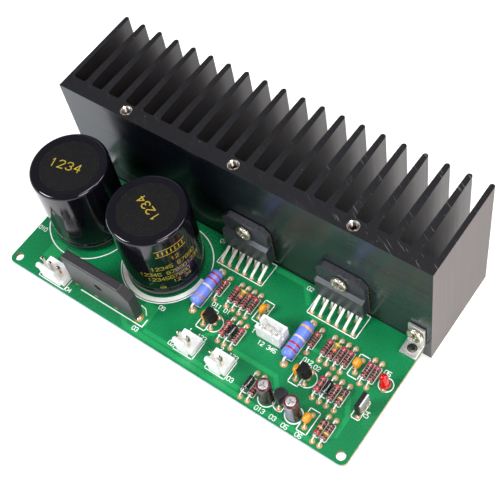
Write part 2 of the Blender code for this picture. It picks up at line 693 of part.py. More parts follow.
def make_filter_capacitors(sleeve, disc):
    radius = CAN_DIAMETER / 2
    top = SEAT + CAN_HEIGHT
    crimp = SEAT + CAN_CRIMP_HEIGHT
    mouth = radius - CAN_RIM
    profile = [
        (0, SEAT),
        (radius - CAN_ROUND / 2, SEAT),
        (radius, SEAT + CAN_ROUND / 2),
        (radius, crimp - CAN_CRIMP_WIDTH / 2),
        (radius - CAN_CRIMP_DEPTH, crimp),
        (radius, crimp + CAN_CRIMP_WIDTH / 2),
        (radius, top - CAN_ROUND),
        (radius - CAN_ROUND * 0.3, top - CAN_ROUND * 0.3),
        (radius - CAN_ROUND, top),
        (mouth, top - CAN_RIM_DEPTH * 0.2),
        (mouth, top - CAN_RIM_DEPTH),
        (0, top - CAN_RIM_DEPTH),
    ]
    pins = []
    for sign in (1, -1):
        x = sign * CAN_PIN_PITCH / 2
        wide = (x - CAN_PIN_WIDTH / 2, x + CAN_PIN_WIDTH / 2)
        thick = (-CAN_PIN_THICKNESS / 2, CAN_PIN_THICKNESS / 2)
        pins.append(block(wide, thick, (LEAD_END, CAN_ROUND)))
    can = carved(turned(profile, CAN_SIDES), [together(pins)], "UNION")
    disc_radius = mouth - SEAT
    low = top - CAN_RIM_DEPTH + SEAT
    cover = turned(
        [(0, low), (disc_radius, low), (disc_radius, low + DISC_THICKNESS), (0, low + DISC_THICKNESS)],
        CAN_SIDES,
    )
    for index, x in enumerate(CAN_XS):
        piece(f"filter_capacitor_{index + 1}", can.copy(), sleeve, (x, CAN_Y, 0))
        piece(f"capacitor_top_disc_{index + 1}", cover.copy(), disc, (x, CAN_Y, 0))
        for sign in (1, -1):
            drill(x + sign * CAN_PIN_PITCH / 2, CAN_Y, CAN_PIN_WIDTH, CAN_PIN_THICKNESS)


def make_bridge_rectifier(material):
    """A flat moulded bridge on edge, with one clipped corner and a hole through its middle."""
    half = BRIDGE_WIDTH / 2
    top = BRIDGE_BOTTOM + BRIDGE_HEIGHT
    back = BRIDGE_FRONT + BRIDGE_THICKNESS
    face = [
        (-half, BRIDGE_BOTTOM),
        (half, BRIDGE_BOTTOM),
        (half, top - BRIDGE_CORNER),
        (half - BRIDGE_CORNER, top),
        (-half, top),
    ]
    side = [
        (BRIDGE_FRONT, BRIDGE_BOTTOM),
        (back, BRIDGE_BOTTOM),
        (back, top - BRIDGE_EDGE),
        (back - BRIDGE_EDGE, top),
        (BRIDGE_FRONT + BRIDGE_EDGE, top),
        (BRIDGE_FRONT, top - BRIDGE_EDGE),
    ]
    beyond = BRIDGE_THICKNESS
    body = carved(
        prism(side, -half, half, "X"),
        [prism(face, BRIDGE_FRONT - beyond, back + beyond, "Y")],
        "INTERSECT",
    )
    hole = rod(BRIDGE_HOLE_DIAMETER, BRIDGE_THICKNESS * 3, SCREW_SIDES, "Y")
    level = BRIDGE_BOTTOM + BRIDGE_HOLE_HEIGHT
    body = carved(body, [moved(hole, at(0, BRIDGE_FRONT - beyond, level))])
    middle = BRIDGE_FRONT + BRIDGE_THICKNESS / 2
    leads = []
    pitch = 2 * (half - BRIDGE_LEAD_INSET) / (BRIDGE_LEAD_COUNT - 1)
    for index in range(BRIDGE_LEAD_COUNT):
        x = (index - (BRIDGE_LEAD_COUNT - 1) / 2) * pitch
        wide = (x - BRIDGE_LEAD_WIDTH / 2, x + BRIDGE_LEAD_WIDTH / 2)
        thick = (middle - BRIDGE_LEAD_THICKNESS / 2, middle + BRIDGE_LEAD_THICKNESS / 2)
        leads.append(block(wide, thick, (LEAD_END, BRIDGE_BOTTOM + BRIDGE_THICKNESS / 2)))
        drill(BRIDGE_X + x, middle, BRIDGE_LEAD_WIDTH, BRIDGE_LEAD_THICKNESS)
    piece("bridge_rectifier", carved(body, [together(leads)], "UNION"), material, (BRIDGE_X, 0, 0))


def axial(profile, diameter, lead_size, pitch, sides):
    """A part on its side along Y, held by two leads that bend down through the board."""
    height = SEAT + diameter / 2
    body = moved(turned(profile, sides), at(0, 0, height) @ Matrix.Rotation(math.pi / 2, 4, "X"))
    reach = profile[-1][1] - profile[-2][0] / 2
    leads = []
    for sign in (1, -1):
        path = [
            (sign * reach, height),
            (sign * pitch / 2, height),
            (sign * pitch / 2, LEAD_END),
        ]
        leads.append(lead(path, lead_size, lead_size))
    return carved(body, [together(leads)], "UNION")


def make_small_resistor():
    half = RESISTOR_LENGTH / 2
    bulge = RESISTOR_DIAMETER / 2
    waist = RESISTOR_WAIST / 2
    profile = [
        (0, -half),
        (waist * 0.7, -half),
        (bulge, -half + RESISTOR_END * 0.5),
        (waist, -half + RESISTOR_END),
        (waist, half - RESISTOR_END),
        (bulge, half - RESISTOR_END * 0.5),
        (waist * 0.7, half),
        (0, half),
    ]
    return axial(profile, RESISTOR_DIAMETER, LEAD_DIAMETER, AXIAL_PITCH, AXIAL_SIDES)


def make_diode():
    half = DIODE_LENGTH / 2
    radius = DIODE_DIAMETER / 2
    profile = [
        (0, -half),
        (radius * 0.85, -half),
        (radius, -half + radius * 0.15),
        (radius, half - radius * 0.15),
        (radius * 0.85, half),
        (0, half),
    ]
    return axial(profile, DIODE_DIAMETER, LEAD_DIAMETER, AXIAL_PITCH, AXIAL_SIDES)


def make_power_resistor():
    half = POWER_LENGTH / 2
    radius = POWER_DIAMETER / 2
    profile = [
        (0, -half),
        (radius * 0.45, -half),
        (radius * 0.85, -half + radius * 0.3),
        (radius, -half + radius * 0.8),
        (radius * 0.97, -half + radius * 1.5),
        (radius * 0.97, half - radius * 1.5),
        (radius, half - radius * 0.8),
        (radius * 0.85, half - radius * 0.3),
        (radius * 0.45, half),
        (0, half),
    ]
    return axial(profile, POWER_DIAMETER, POWER_LEAD, POWER_PITCH, POWER_SIDES)


def in_channels(x, y):
    """The same place in every channel."""
    return [(x + channel * CHANNEL_PITCH, y) for channel in range(CHANNEL_COUNT)]


def resistor_places():
    """Middles of the quarter-watt resistors: a set in each channel, then the ones outside the channels."""
    columns = [(GAIN_X, BACK_ROW_Y)]
    columns += [(BACK_COLUMNS_X + step * COLUMN_PITCH, BACK_ROW_Y) for step in range(BACK_COLUMN_COUNT)]
    columns += [(MIDDLE_COLUMNS_X + step * COLUMN_PITCH, MIDDLE_ROW_Y) for step in (0, 2)]
    places = [(x + channel * CHANNEL_PITCH, y) for channel in range(CHANNEL_COUNT) for x, y in columns]
    places += [(LAMP_COLUMNS_X + step * COLUMN_PITCH, BACK_ROW_Y) for step in range(LAMP_COLUMN_COUNT)]
    places.append((MUTE_COLUMNS_X, MIDDLE_ROW_Y))
    places.append((FRONT_COLUMN_X, FRONT_ROW_Y))
    places += [(MUTE_COLUMNS_X, FRONT_ROW_Y), (MUTE_COLUMNS_X + COLUMN_PITCH, FRONT_ROW_Y)]
    return places


def diode_places():
    """Middles of the diodes: one between each channel's middle resistors, and one at the front."""
    return in_channels(MIDDLE_COLUMNS_X + COLUMN_PITCH, MIDDLE_ROW_Y) + [(FRONT_DIODE_X, FRONT_ROW_Y)]


def make_axial_parts(resistor_finish, diode_finish, power_finish):
    power_places = in_channels(POWER_X, BACK_ROW_Y - POWER_BEFORE_BACK_ROW)
    small = (LEAD_DIAMETER, AXIAL_PITCH)
    large = (POWER_LEAD, POWER_PITCH)
    groups = (
        ("resistor_{:02d}", make_small_resistor(), resistor_places(), resistor_finish, small),
        ("diode_{}", make_diode(), diode_places(), diode_finish, small),
        ("power_resistor_{}", make_power_resistor(), power_places, power_finish, large),
    )
    for name, mesh, places, material, (lead_size, pitch) in groups:
        for index, (x, y) in enumerate(places):
            piece(name.format(index + 1), mesh.copy(), material, (x, y, 0))
            for sign in (1, -1):
                drill(x, y + sign * pitch / 2, lead_size)


def make_ceramic():
    """A dipped pillow on two straight leads in line with Y."""
    bm = bmesh.new()
    bmesh.ops.create_uvsphere(bm, u_segments=CERAMIC_SIDES, v_segments=CERAMIC_RING_COUNT, radius=0.5)
    size = Matrix.Diagonal((CERAMIC_THICKNESS, CERAMIC_WIDTH, CERAMIC_HEIGHT, 1))
    bm.transform(at(0, 0, CERAMIC_BOTTOM + CERAMIC_HEIGHT / 2) @ size)
    body = mesh_from(bm)
    level = CERAMIC_BOTTOM + CERAMIC_HEIGHT * 0.35
    inner = CERAMIC_WIDTH * 0.25
    leads = []
    for sign in (1, -1):
        path = [
            (sign * inner, level),
            (sign * CERAMIC_PITCH / 2, CERAMIC_BOTTOM),
            (sign * CERAMIC_PITCH / 2, LEAD_END),
        ]
        leads.append(lead(path, LEAD_DIAMETER, LEAD_DIAMETER))
    return carved(body, [together(leads)], "UNION")


def make_ceramics(material):
    mesh = make_ceramic()
    places = in_channels(CERAMIC_X, MIDDLE_ROW_Y)
    places += in_channels(BACK_CERAMIC_X, BACK_ROW_Y)
    places.append((FRONT_CERAMIC_X, FRONT_ROW_Y))
    for index, (x, y) in enumerate(places):
        piece(f"ceramic_capacitor_{index + 1}", mesh.copy(), material, (x, y, 0))
        for sign in (1, -1):
            drill(x, y + sign * CERAMIC_PITCH / 2, LEAD_DIAMETER)


def make_transistor():
    """A round-backed moulding with a flat face towards -X and three leads in line with Y."""
    radius = TRANSISTOR_DIAMETER / 2
    start = math.acos(TRANSISTOR_FLAT / radius)
    outline = []
    for step in range(TRANSISTOR_STEPS + 1):
        angle = math.pi - start - step / TRANSISTOR_STEPS * 2 * (math.pi - start)
        outline.append((radius * math.cos(angle), radius * math.sin(angle)))
    body = prism(outline, TRANSISTOR_BOTTOM, TRANSISTOR_BOTTOM + TRANSISTOR_HEIGHT)
    leads = []
    inside = TRANSISTOR_BOTTOM + TRANSISTOR_HEIGHT / 4
    for step in (-1, 0, 1):
        y = step * TRANSISTOR_PITCH
        path = [
            (y / 2, inside),
            (y / 2, TRANSISTOR_BOTTOM * 0.8),
            (y, TRANSISTOR_BOTTOM * 0.4),
            (y, LEAD_END),
        ]
        leads.append(lead(path, LEAD_DIAMETER, LEAD_DIAMETER))
    return carved(body, [together(leads)], "UNION")


def make_transistors(material):
    mesh = make_transistor()
    places = [(x, y, 0) for x, y in in_channels(TRANSISTOR_X, MIDDLE_ROW_Y)]
    places.append((MUTE_TRANSISTOR_X, FRONT_ROW_Y + MUTE_TRANSISTOR_BEHIND_FRONT_ROW, math.pi))
    for index, (x, y, turn) in enumerate(places):
        piece(f"transistor_{index + 1}", mesh.copy(), material, (x, y, 0), (0, 0, turn))
        for step in (-1, 0, 1):
            drill(x, y + step * TRANSISTOR_PITCH, LEAD_DIAMETER)


def make_tab_transistor(material):
    """A small power transistor: a thin moulding with a bare metal tab towards +X."""
    body = block(
        (-TAB_BODY_THICKNESS, 0),
        (-TAB_BODY_WIDTH / 2, TAB_BODY_WIDTH / 2),
        (TAB_BODY_BOTTOM, TAB_BODY_BOTTOM + TAB_BODY_HEIGHT),
    )
    tab = block(
        (-TAB_THICKNESS / 2, TAB_THICKNESS),
        (-TAB_WIDTH / 2, TAB_WIDTH / 2),
        (TAB_BODY_BOTTOM + TAB_RISE, TAB_BODY_BOTTOM + TAB_BODY_HEIGHT + TAB_RISE),
    )
    leads = []
    for step in (-1, 0, 1):
        lead_y = step * TRANSISTOR_PITCH
        path = [(lead_y, TAB_BODY_BOTTOM + TAB_BODY_HEIGHT / 4), (lead_y, LEAD_END)]
        leads.append(lead(path, LEAD_DIAMETER, LEAD_DIAMETER, -TAB_BODY_THICKNESS / 2))
        drill(TAB_X - TAB_BODY_THICKNESS / 2, MIDDLE_ROW_Y + lead_y, LEAD_DIAMETER)
    mesh = carved(carved(body, [tab], "UNION"), [together(leads)], "UNION")
    piece("tab_transistor", mesh, material, (TAB_X, MIDDLE_ROW_Y, 0))


def make_small_capacitors(material):
    radius = SMALL_CAN_DIAMETER / 2
    top = SEAT + SMALL_CAN_HEIGHT
    mouth = radius - SMALL_CAN_RIM
    profile = [
        (0, SEAT),
        (radius - SMALL_CAN_ROUND, SEAT),
        (radius, SEAT + SMALL_CAN_ROUND),
        (radius, top - SMALL_CAN_ROUND),
        (radius - SMALL_CAN_ROUND * 0.5, top),
        (mouth, top),
        (mouth, top - SMALL_CAN_RIM_DEPTH),
        (0, top - SMALL_CAN_RIM_DEPTH),
    ]
    leads = []
    for sign in (1, -1):
        y = sign * SMALL_CAN_PITCH / 2
        leads.append(lead([(y, SMALL_CAN_ROUND * 2), (y, LEAD_END)], LEAD_DIAMETER, LEAD_DIAMETER))
    mesh = carved(turned(profile, SMALL_CAN_SIDES), [together(leads)], "UNION")
    middle = FRONT_ROW_Y - SMALL_CAN_BEFORE_FRONT_ROW
    for index, x in enumerate((LEFT_CAN_X, RIGHT_CAN_X)):
        piece(f"small_capacitor_{index + 1}", mesh.copy(), material, (x, middle, 0))
        for sign in (1, -1):
            drill(x, middle + sign * SMALL_CAN_PITCH / 2, LEAD_DIAMETER)


def make_lamp(material):
    """A 3 mm lamp with a flange and a dome, a little out of upright on its leads."""
    radius = LAMP_DIAMETER / 2
    flange = LAMP_FLANGE / 2
    dome = LAMP_HEIGHT - radius
    profile = [
        (0, 0),
        (flange, 0),
        (flange, LAMP_FLANGE_HEIGHT),
        (radius, LAMP_FLANGE_HEIGHT),
        (radius, dome),
        (radius * math.cos(math.pi / 6), dome + radius * math.sin(math.pi / 6)),
        (radius * math.cos(math.pi / 3), dome + radius * math.sin(math.pi / 3)),
        (0, LAMP_HEIGHT),
    ]
    lean = Matrix.Rotation(-LAMP_LEAN, 4, "Y") @ Matrix.Rotation(-LAMP_LEAN_BACK, 4, "X")
    body = moved(turned(profile, LAMP_SIDES), at(0, 0, LAMP_STANDOFF) @ lean)
    leads = []
    middle = BACK_ROW_Y - LAMP_BEFORE_BACK_ROW
    inside = LAMP_STANDOFF + LAMP_FLANGE_HEIGHT
    for sign in (1, -1):
        lead_y = sign * LAMP_PITCH / 2
        leads.append(lead([(lead_y, inside), (lead_y, LEAD_END)], LEAD_DIAMETER, LEAD_DIAMETER))
        drill(LAMP_X, middle + lead_y, LEAD_DIAMETER)
    piece("indicator_lamp", carved(body, [together(leads)], "UNION"), material, (LAMP_X, middle, 0))


def make_power_connector(pins):
    """A base with square pins and a friction wall in front, measured from the pin row's middle."""
    span = (pins - 1) * POWER_PIN_PITCH
    half = span / 2 + HOUSING_END
    base = block((-half, half), (-HOUSING_FRONT, HOUSING_BACK), (SEAT, SEAT + HOUSING_BASE))
    slots = []
    for index in range(pins - 1):
        x = (index + 0.5) * POWER_PIN_PITCH - span / 2
        wide = (x - BASE_SLOT_WIDTH / 2, x + BASE_SLOT_WIDTH / 2)
        long = (BASE_SLOT_START, BASE_SLOT_START + BASE_SLOT_LENGTH)
        slots.append(block(wide, long, (-HOUSING_BASE, HOUSING_BASE * 2)))
    base = carved(base, [together(slots)])
    front = -WALL_FRONT
    inside = front + WALL_THICKNESS
    top = SEAT + WALL_HEIGHT
    wall = [
        (front, SEAT),
        (inside, SEAT),
        (inside, top - WALL_LIP),
        (inside - WALL_LIP, top),
        (front, top),
        (front - WALL_LIP, top - WALL_LIP_HEIGHT / 2),
        (front, top - WALL_LIP_HEIGHT),
    ]
    reach = span / 2 + WALL_END
    housing = carved(base, [prism(wall, -reach, reach, "X")], "UNION")
    legs = []
    for index in range(pins):
        x = index * POWER_PIN_PITCH - span / 2
        section = (-POWER_PIN / 2, POWER_PIN / 2)
        legs.append(moved(block(section, section, (LEAD_END, POWER_PIN_TOP)), at(x)))
    return carved(housing, [together(legs)], "UNION")


def make_power_connectors(material):
    outputs = [(OUTPUT_X, OUTPUT_Y), (OUTPUT_X + OUTPUT_SPACING, OUTPUT_Y)]
    groups = (("supply_connector", 3, [(SUPPLY_X, SUPPLY_Y)]), ("output_connector_{}", 2, outputs))
    for name, pins, places in groups:
        mesh = make_power_connector(pins)
        for number, (x, y) in enumerate(places):
            piece(name.format(number + 1), mesh.copy(), material, (x, y, 0))
            for index in range(pins):
                drill(x + (index - (pins - 1) / 2) * POWER_PIN_PITCH, y, POWER_PIN)


def make_input_connector(material):
    """An open-topped shroud round three pins, slotted in front and notched at both ends."""
    half = INPUT_WIDTH / 2
    front = -INPUT_PIN_FROM_FRONT
    back = front + INPUT_DEPTH
    top = SEAT + INPUT_HEIGHT
    floor = SEAT + INPUT_FLOOR
    shell = block((-half, half), (front, back), (SEAT, top))
    wall = INPUT_WALL
    cavity = block((wall - half, half - wall), (front + wall, back - wall), (floor, top * 2))
    shell = carved(shell, [cavity])
    across = (-INPUT_NOTCH_WIDTH / 2, INPUT_NOTCH_WIDTH / 2)
    shell = carved(shell, [block((-half * 2, half * 2), across, (INPUT_NOTCH_HEIGHT, top * 2))])
    slots = []
    for sign in (1, -1):
        x = sign * INPUT_SLOT_OFFSET
        wide = (x - INPUT_SLOT_WIDTH / 2, x + INPUT_SLOT_WIDTH / 2)
        slots.append(block(wide, (front * 2, front + wall * 1.5), (INPUT_NOTCH_HEIGHT, top * 2)))
    shell = carved(shell, [together(slots)])
    pins = []
    middle = BACK_ROW_Y - INPUT_BEFORE_BACK_ROW
    for index in range(INPUT_PIN_COUNT):
        offset = (index - (INPUT_PIN_COUNT - 1) / 2) * INPUT_PITCH
        section = (-INPUT_PIN / 2, INPUT_PIN / 2)
        pins.append(moved(block(section, section, (LEAD_END, INPUT_PIN_TOP)), at(offset)))
        drill(INPUT_X + offset, middle, INPUT_PIN)
    piece("input_connector", carved(shell, [together(pins)], "UNION"), material, (INPUT_X, middle, 0))


def make_circuit_board(material):
    """The board, drilled for every lead, for the bracket screws and for its two front mounting holes."""
    outline = rounded((0, 0), (BOARD_LENGTH, BOARD_DEPTH), BOARD_CORNER, BOARD_CORNER_STEPS)
    blank = prism(outline, -BOARD_THICKNESS, 0)
    drills = []
    for x, y, diameter in lead_holes:
        drills.append(moved(rod(diameter, BOARD_THICKNESS * 3, 6), at(x, y, -BOARD_THICKNESS * 2)))
    large = [(x, bracket_foot_hole_y(), SHANK_DIAMETER + 2 * HOLE_PLAY) for x in bracket_centres()]
    for x in (MOUNT_HOLE_INSET, BOARD_LENGTH - MOUNT_HOLE_INSET):
        large.append((x, MOUNT_HOLE_INSET, MOUNT_HOLE_DIAMETER))
    for x, y, diameter in large:
        drills.append(moved(rod(diameter, BOARD_THICKNESS * 3, SCREW_SIDES), at(x, y, -BOARD_THICKNESS * 2)))
    piece("circuit_board", carved(blank, [together(drills)]), material)


for old in list(bpy.data.objects):
    bpy.data.objects.remove(old)

corner = bpy.data.objects.new("board_corner", None)
corner.location = (SINK_OVERHANG - SINK_LENGTH / 2, -(SINK_FRONT + SINK_DEPTH) / 2, BOARD_HEIGHT)
bpy.context.collection.objects.link(corner)

nickel = finish("nickel", (190, 185, 170), 0.25, 1.0)
white_plastic = finish("white_plastic", (235, 235, 230), 0.5)

make_heatsink(finish("black_anodised", (30, 31, 34), 0.3, 0.6))
make_brackets(nickel)
make_screws(nickel)
make_chips(finish("chip_moulding", (52, 54, 60), 0.45))
make_filter_capacitors(finish("black_sleeve", (14, 15, 18), 0.12), finish("black_disc", (32, 32, 36), 0.7))
make_bridge_rectifier(finish("bridge_moulding", (110, 112, 120), 0.45))
make_axial_parts(
    finish("brown_lacquer", (150, 85, 80), 0.4),
    finish("black_moulding", (28, 28, 32), 0.35),
    finish("blue_lacquer", (115, 140, 250), 0.4),
)
make_ceramics(finish("orange_dip", (245, 160, 30), 0.35))
small_moulding = finish("transistor_moulding", (34, 32, 36), 0.55)
make_transistors(small_moulding)
make_tab_transistor(small_moulding)
make_small_capacitors(finish("brown_sleeve", (60, 30, 35), 0.25))
make_lamp(finish("red_lens", (225, 30, 25), 0.15))
make_power_connectors(white_plastic)
make_input_connector(white_plastic)
make_circuit_board(finish("green_mask", (20, 130, 72), 0.3))
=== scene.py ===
"""Looks of the audio amplifier board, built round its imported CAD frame.

Meshes are drawn in millimetres, each about its own origin, and become metres when they are placed.
Places come from the frame: a part stands where its CAD leads pass the board.
"""

import math

import bmesh
import bpy
from mathutils import Matrix, Vector


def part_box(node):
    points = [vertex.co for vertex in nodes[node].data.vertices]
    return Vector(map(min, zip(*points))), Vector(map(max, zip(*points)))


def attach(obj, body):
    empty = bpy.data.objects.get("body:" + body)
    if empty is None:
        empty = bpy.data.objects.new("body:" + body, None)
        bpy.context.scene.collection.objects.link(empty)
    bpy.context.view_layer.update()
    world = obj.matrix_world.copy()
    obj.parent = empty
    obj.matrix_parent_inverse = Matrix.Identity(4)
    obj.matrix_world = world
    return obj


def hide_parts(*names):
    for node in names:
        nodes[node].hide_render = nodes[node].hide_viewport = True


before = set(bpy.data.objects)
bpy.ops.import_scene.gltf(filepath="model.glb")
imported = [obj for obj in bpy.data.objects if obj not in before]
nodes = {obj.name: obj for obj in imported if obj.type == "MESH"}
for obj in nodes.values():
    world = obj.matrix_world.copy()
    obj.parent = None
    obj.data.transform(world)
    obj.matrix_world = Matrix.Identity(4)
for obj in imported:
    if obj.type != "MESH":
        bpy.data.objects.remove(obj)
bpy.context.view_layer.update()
scene = bpy.context.scene

# Camera, solved from the photograph
camera_data = bpy.data.cameras.new("camera")
camera_data.sensor_width = 36.0
camera_data.lens = 74.705
camera_data.shift_x = 0.002084
camera_data.shift_y = -0.05707
camera_data.clip_start = 0.01
camera_data.clip_end = 50.0
camera = bpy.data.objects.new("camera", camera_data)
camera.location = (0.1554918, -0.1340793, 0.3291242)
camera.rotation_euler = [math.radians(angle) for angle in (33.75259, 7.69762, 35.87079)]
scene.collection.objects.link(camera)
scene.camera = camera

# Sizes in millimetres, the same as in the part's source
SEAT = 0.3
BOARD_THICKNESS = 1.6
BOARD_CORNER = 2.5
MOUNT_HOLE = 3.4
MOUNT_HOLE_INSET = 3.0
LEAD_END = -3.0
WIRE = 0.55
AXIAL_PITCH = 10.16
FIN_COUNT = 20
FIN_ROOT = 3.0
FIN_TIP = 2.0
END_FIN = 1.9
FIN_FILLET = 0.6
SINK_BASE = 5.9
SINK_OVERHANG = 0.9
TAPPED_HOLE = 3.4
TAPPED_DEPTH = 8.0
TAPPED_PITCH = 47.3
TAPPED_SHIFT = -0.3
HEAD = 5.9
HEAD_HEIGHT = 2.2
SHANK = 3.0
SCREW_BORE = SHANK + 0.6
BRACKET_SHEET = 1.0
BRACKET_FOOT_HOLE = 3.4
BRACKET_WALL_HOLE = 6.9
CHIP_WIDTH = 19.5
CHIP_BOTTOM = 4.2
CHIP_HEIGHT = 18.5
CHIP_THICKNESS = 4.3
CHIP_TAB = 2.6
CHIP_STEP = 9.6
CHIP_SCREW = 13.8
CAN = 29.7
CAN_HEIGHT = 35.2
CAN_RIM = 2.3
CAN_RIM_DEPTH = 0.9
BRIDGE_WIDTH = 31.0
BRIDGE_THICKNESS = 4.0
BRIDGE_BOTTOM = 2.0
BRIDGE_HEIGHT = 17.0
BRIDGE_CORNER = 4.4
BRIDGE_HOLE = 3.2
BRIDGE_HOLE_LEVEL = 11.2
POWER_PITCH = 18.2
POWER_PIN = 1.1
POWER_PIN_PITCH = 3.96
INPUT_PITCH = 2.5

# Sizes of the looks alone, in millimetres
HEAD_RISE = 1.5
HEAD_GROWTH = 0.15
BRACKET_HOLE_INSET = 3.5
LEAD_GAP = 1.83
PIN_TOP = 9.99
SPECK_SHARE = 0.45
TRACK_LOW = -0.02
TRACK_HIGH = 0.014
PRINT_LOW = -0.02
PRINT_HIGH = 0.03
FIGURE_HEIGHT = 1.55
FIGURE_STROKE = 0.22

# Where the board's front left corner stands, on its top face
board_low, board_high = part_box("circuit_board")
CORNER = Vector((board_low.x, board_low.y, board_high.z))
BOARD_LENGTH = (board_high.x - board_low.x) * 1000
BOARD_DEPTH = (board_high.y - board_low.y) * 1000
sink_low, sink_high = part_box("heatsink")
SINK_LENGTH = (sink_high.x - sink_low.x) * 1000
SINK_DEPTH = (sink_high.y - sink_low.y) * 1000
SINK_FRONT = (sink_low.y - CORNER.y) * 1000
SINK_TOP = (sink_high.z - CORNER.z) * 1000
SINK_FOOT = (sink_low.z - CORNER.z) * 1000


def on_board(x, y, z=0.0):
    """A place on the board's drawing, in millimetres from its front left corner."""
    return CORNER + Vector((x, y, z)) / 1000


def drawn_box(node):
    """A CAD node's lowest and highest corners, in millimetres on the board's drawing."""
    return [(corner - CORNER) * 1000 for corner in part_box(node)]


def lead_ends(node):
    """Where a CAD node's leads come out under the board, in millimetres on the board's drawing."""
    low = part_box(node)[0].z + 0.00005
    spots = []
    for vertex in nodes[node].data.vertices:
        if vertex.co.z > low:
            continue
        place = (vertex.co - CORNER).to_2d() * 1000
        for spot in spots:
            if (place - spot[0]).length < LEAD_GAP:
                spot.append(place)
                break
        else:
            spots.append([place])
    ends = []
    for spot in spots:
        across = [max(place[axis] for place in spot) + min(place[axis] for place in spot) for axis in (0, 1)]
        ends.append(Vector(across) / 2)
    return ends


def middle_of_leads(node):
    """The middle of a CAD node's leads, as (x, y) on the board's drawing."""
    ends = lead_ends(node)
    return sum(ends, Vector((0, 0))) / len(ends)


# Mesh makers


def opened(*meshes):
    """One bmesh of several meshes."""
    bm = bmesh.new()
    for mesh in meshes:
        bm.from_mesh(mesh)
    return bm


def closed(bm, outwards=True):
    """The mesh of a bmesh, which is freed, with its faces turned outwards."""
    if outwards:
        bmesh.ops.recalc_face_normals(bm, faces=bm.faces)
    mesh = bpy.data.meshes.new("shape")
    bm.to_mesh(mesh)
    bm.free()
    return mesh


def joined(meshes):
    return closed(opened(*meshes), False)


def at(x=0.0, y=0.0, z=0.0):
    return Matrix.Translation((x, y, z))


def turning(degrees, axis="Z"):
    return Matrix.Rotation(math.radians(degrees), 4, axis)


def moved(mesh, matrix):
    copy = mesh.copy()
    copy.transform(matrix)
    return copy


def leaning(degrees, level):
    """A lean to the side about a level, for a body on its leads."""
    return at(0, 0, level) @ turning(degrees, "Y") @ at(0, 0, -level)


def prism(outline, low, high, axis="Z"):
    """An outline extruded between two levels of an axis: (x, y) for Z, (x, z) for Y, (y, z) for X."""
    place = {
        "X": lambda u, v, w: (w, u, v),
        "Y": lambda u, v, w: (u, w, v),
        "Z": lambda u, v, w: (u, v, w),
    }[axis]
    bm = bmesh.new()
    face = bm.faces.new([bm.verts.new(place(u, v, low)) for u, v in outline])
    grown = bmesh.ops.extrude_face_region(bm, geom=[face])
    raised = [item for item in grown["geom"] if isinstance(item, bmesh.types.BMVert)]
    bmesh.ops.translate(bm, verts=raised, vec=place(0, 0, high - low))
    return closed(bm)


def block(x, y, z):
    """A box between three (low, high) pairs."""
    return prism([(x[0], y[0]), (x[1], y[0]), (x[1], y[1]), (x[0], y[1])], *z)


def turned(profile, sides=48):
    """A body turned about Z from (radius, height) points, on the axis at both ends or a closed loop."""
    bm = bmesh.new()
    points = [bm.verts.new((radius, 0, height)) for radius, height in profile]
    lines = [bm.edges.new(pair) for pair in zip(points, points[1:])]
    bmesh.ops.spin(
        bm, geom=points + lines, cent=(0, 0, 0), axis=(0, 0, 1), angle=math.tau, steps=sides, use_merge=True
    )
    bmesh.ops.remove_doubles(bm, verts=bm.verts, dist=0.001)
    return closed(bm)


def ring(inner, outer, low, high, sides=24):
    """A flat washer about Z."""
    return turned([(inner, low), (outer, low), (outer, high), (inner, high), (inner, low)], sides)


def rod(diameter, low, high, axis="Z", sides=32):
    """A round bar between two levels of the Z or Y axis."""
    bar = turned([(0, low), (diameter / 2, low), (diameter / 2, high), (0, high)], sides)
    return moved(bar, turning(-90, "X")) if axis == "Y" else bar


def drill(diameter, reach, place, axis="Y", sides=36):
    """A bar that bores a hole, as far both ways from a place."""
    return moved(rod(diameter, -reach, reach, axis, sides), at(*place))


def carved(base, tools, operation="DIFFERENCE"):
    """The mesh of base, cut by, joined with or kept inside the tools, one after another."""
    body = bpy.data.objects.new("carved", base)
    scene.collection.objects.link(body)
    helpers = []
    for tool in tools:
        helper = bpy.data.objects.new("tool", tool)
        scene.collection.objects.link(helper)
        helpers.append(helper)
        cut = body.modifiers.new("carve", "BOOLEAN")
        cut.operation = operation
        cut.solver = "EXACT"
        cut.object = helper
    graph = bpy.context.evaluated_depsgraph_get()
    result = bpy.data.meshes.new_from_object(body.evaluated_get(graph))
    for item in [body, *helpers]:
        bpy.data.objects.remove(item)
    return result


def shared_out(mesh, pick):
    """The faces of a mesh in separate meshes, under the key that pick gives each face."""
    bm = opened(mesh)
    keys = [pick(face) for face in bm.faces]
    shares = {}
    for key in sorted(set(keys)):
        share = bm.copy()
        others = [face for face, found in zip(share.faces, keys) if found != key]
        bmesh.ops.delete(share, geom=others, context="FACES")
        shares[key] = closed(share, False)
    bm.free()
    return shares


def eased(mesh, width, steps=2, limit=35):
    """A mesh with its sharp edges rounded to a width."""
    bm = opened(mesh)
    bmesh.ops.remove_doubles(bm, verts=bm.verts, dist=0.001)
    bmesh.ops.dissolve_limit(bm, angle_limit=math.radians(1), verts=bm.verts, edges=bm.edges)
    sharp = [edge for edge in bm.edges if edge.is_manifold and edge.calc_face_angle() > math.radians(limit)]
    bmesh.ops.bevel(
        bm, geom=sharp, offset=width, offset_type="OFFSET", segments=steps, profile=0.5, affect="EDGES",
        clamp_overlap=True,
    )
    return closed(bm)


def ribbon(path, thickness):
    """The outline of a strip of even thickness along a bent centre line."""
    line = [Vector(point) for point in path]
    runs = [(after - before).normalized() for before, after in zip(line, line[1:])]
    sides = ([], [])
    for index, point in enumerate(line):
        first = runs[max(index - 1, 0)]
        second = runs[min(index, len(runs) - 1)]
        across = (first + second).normalized().orthogonal()
        reach = thickness / 2 / abs(across.dot(first.orthogonal()))
        for side, sign in zip(sides, (1, -1)):
            side.append(tuple(point + sign * reach * across))
    return sides[0] + sides[1][::-1]


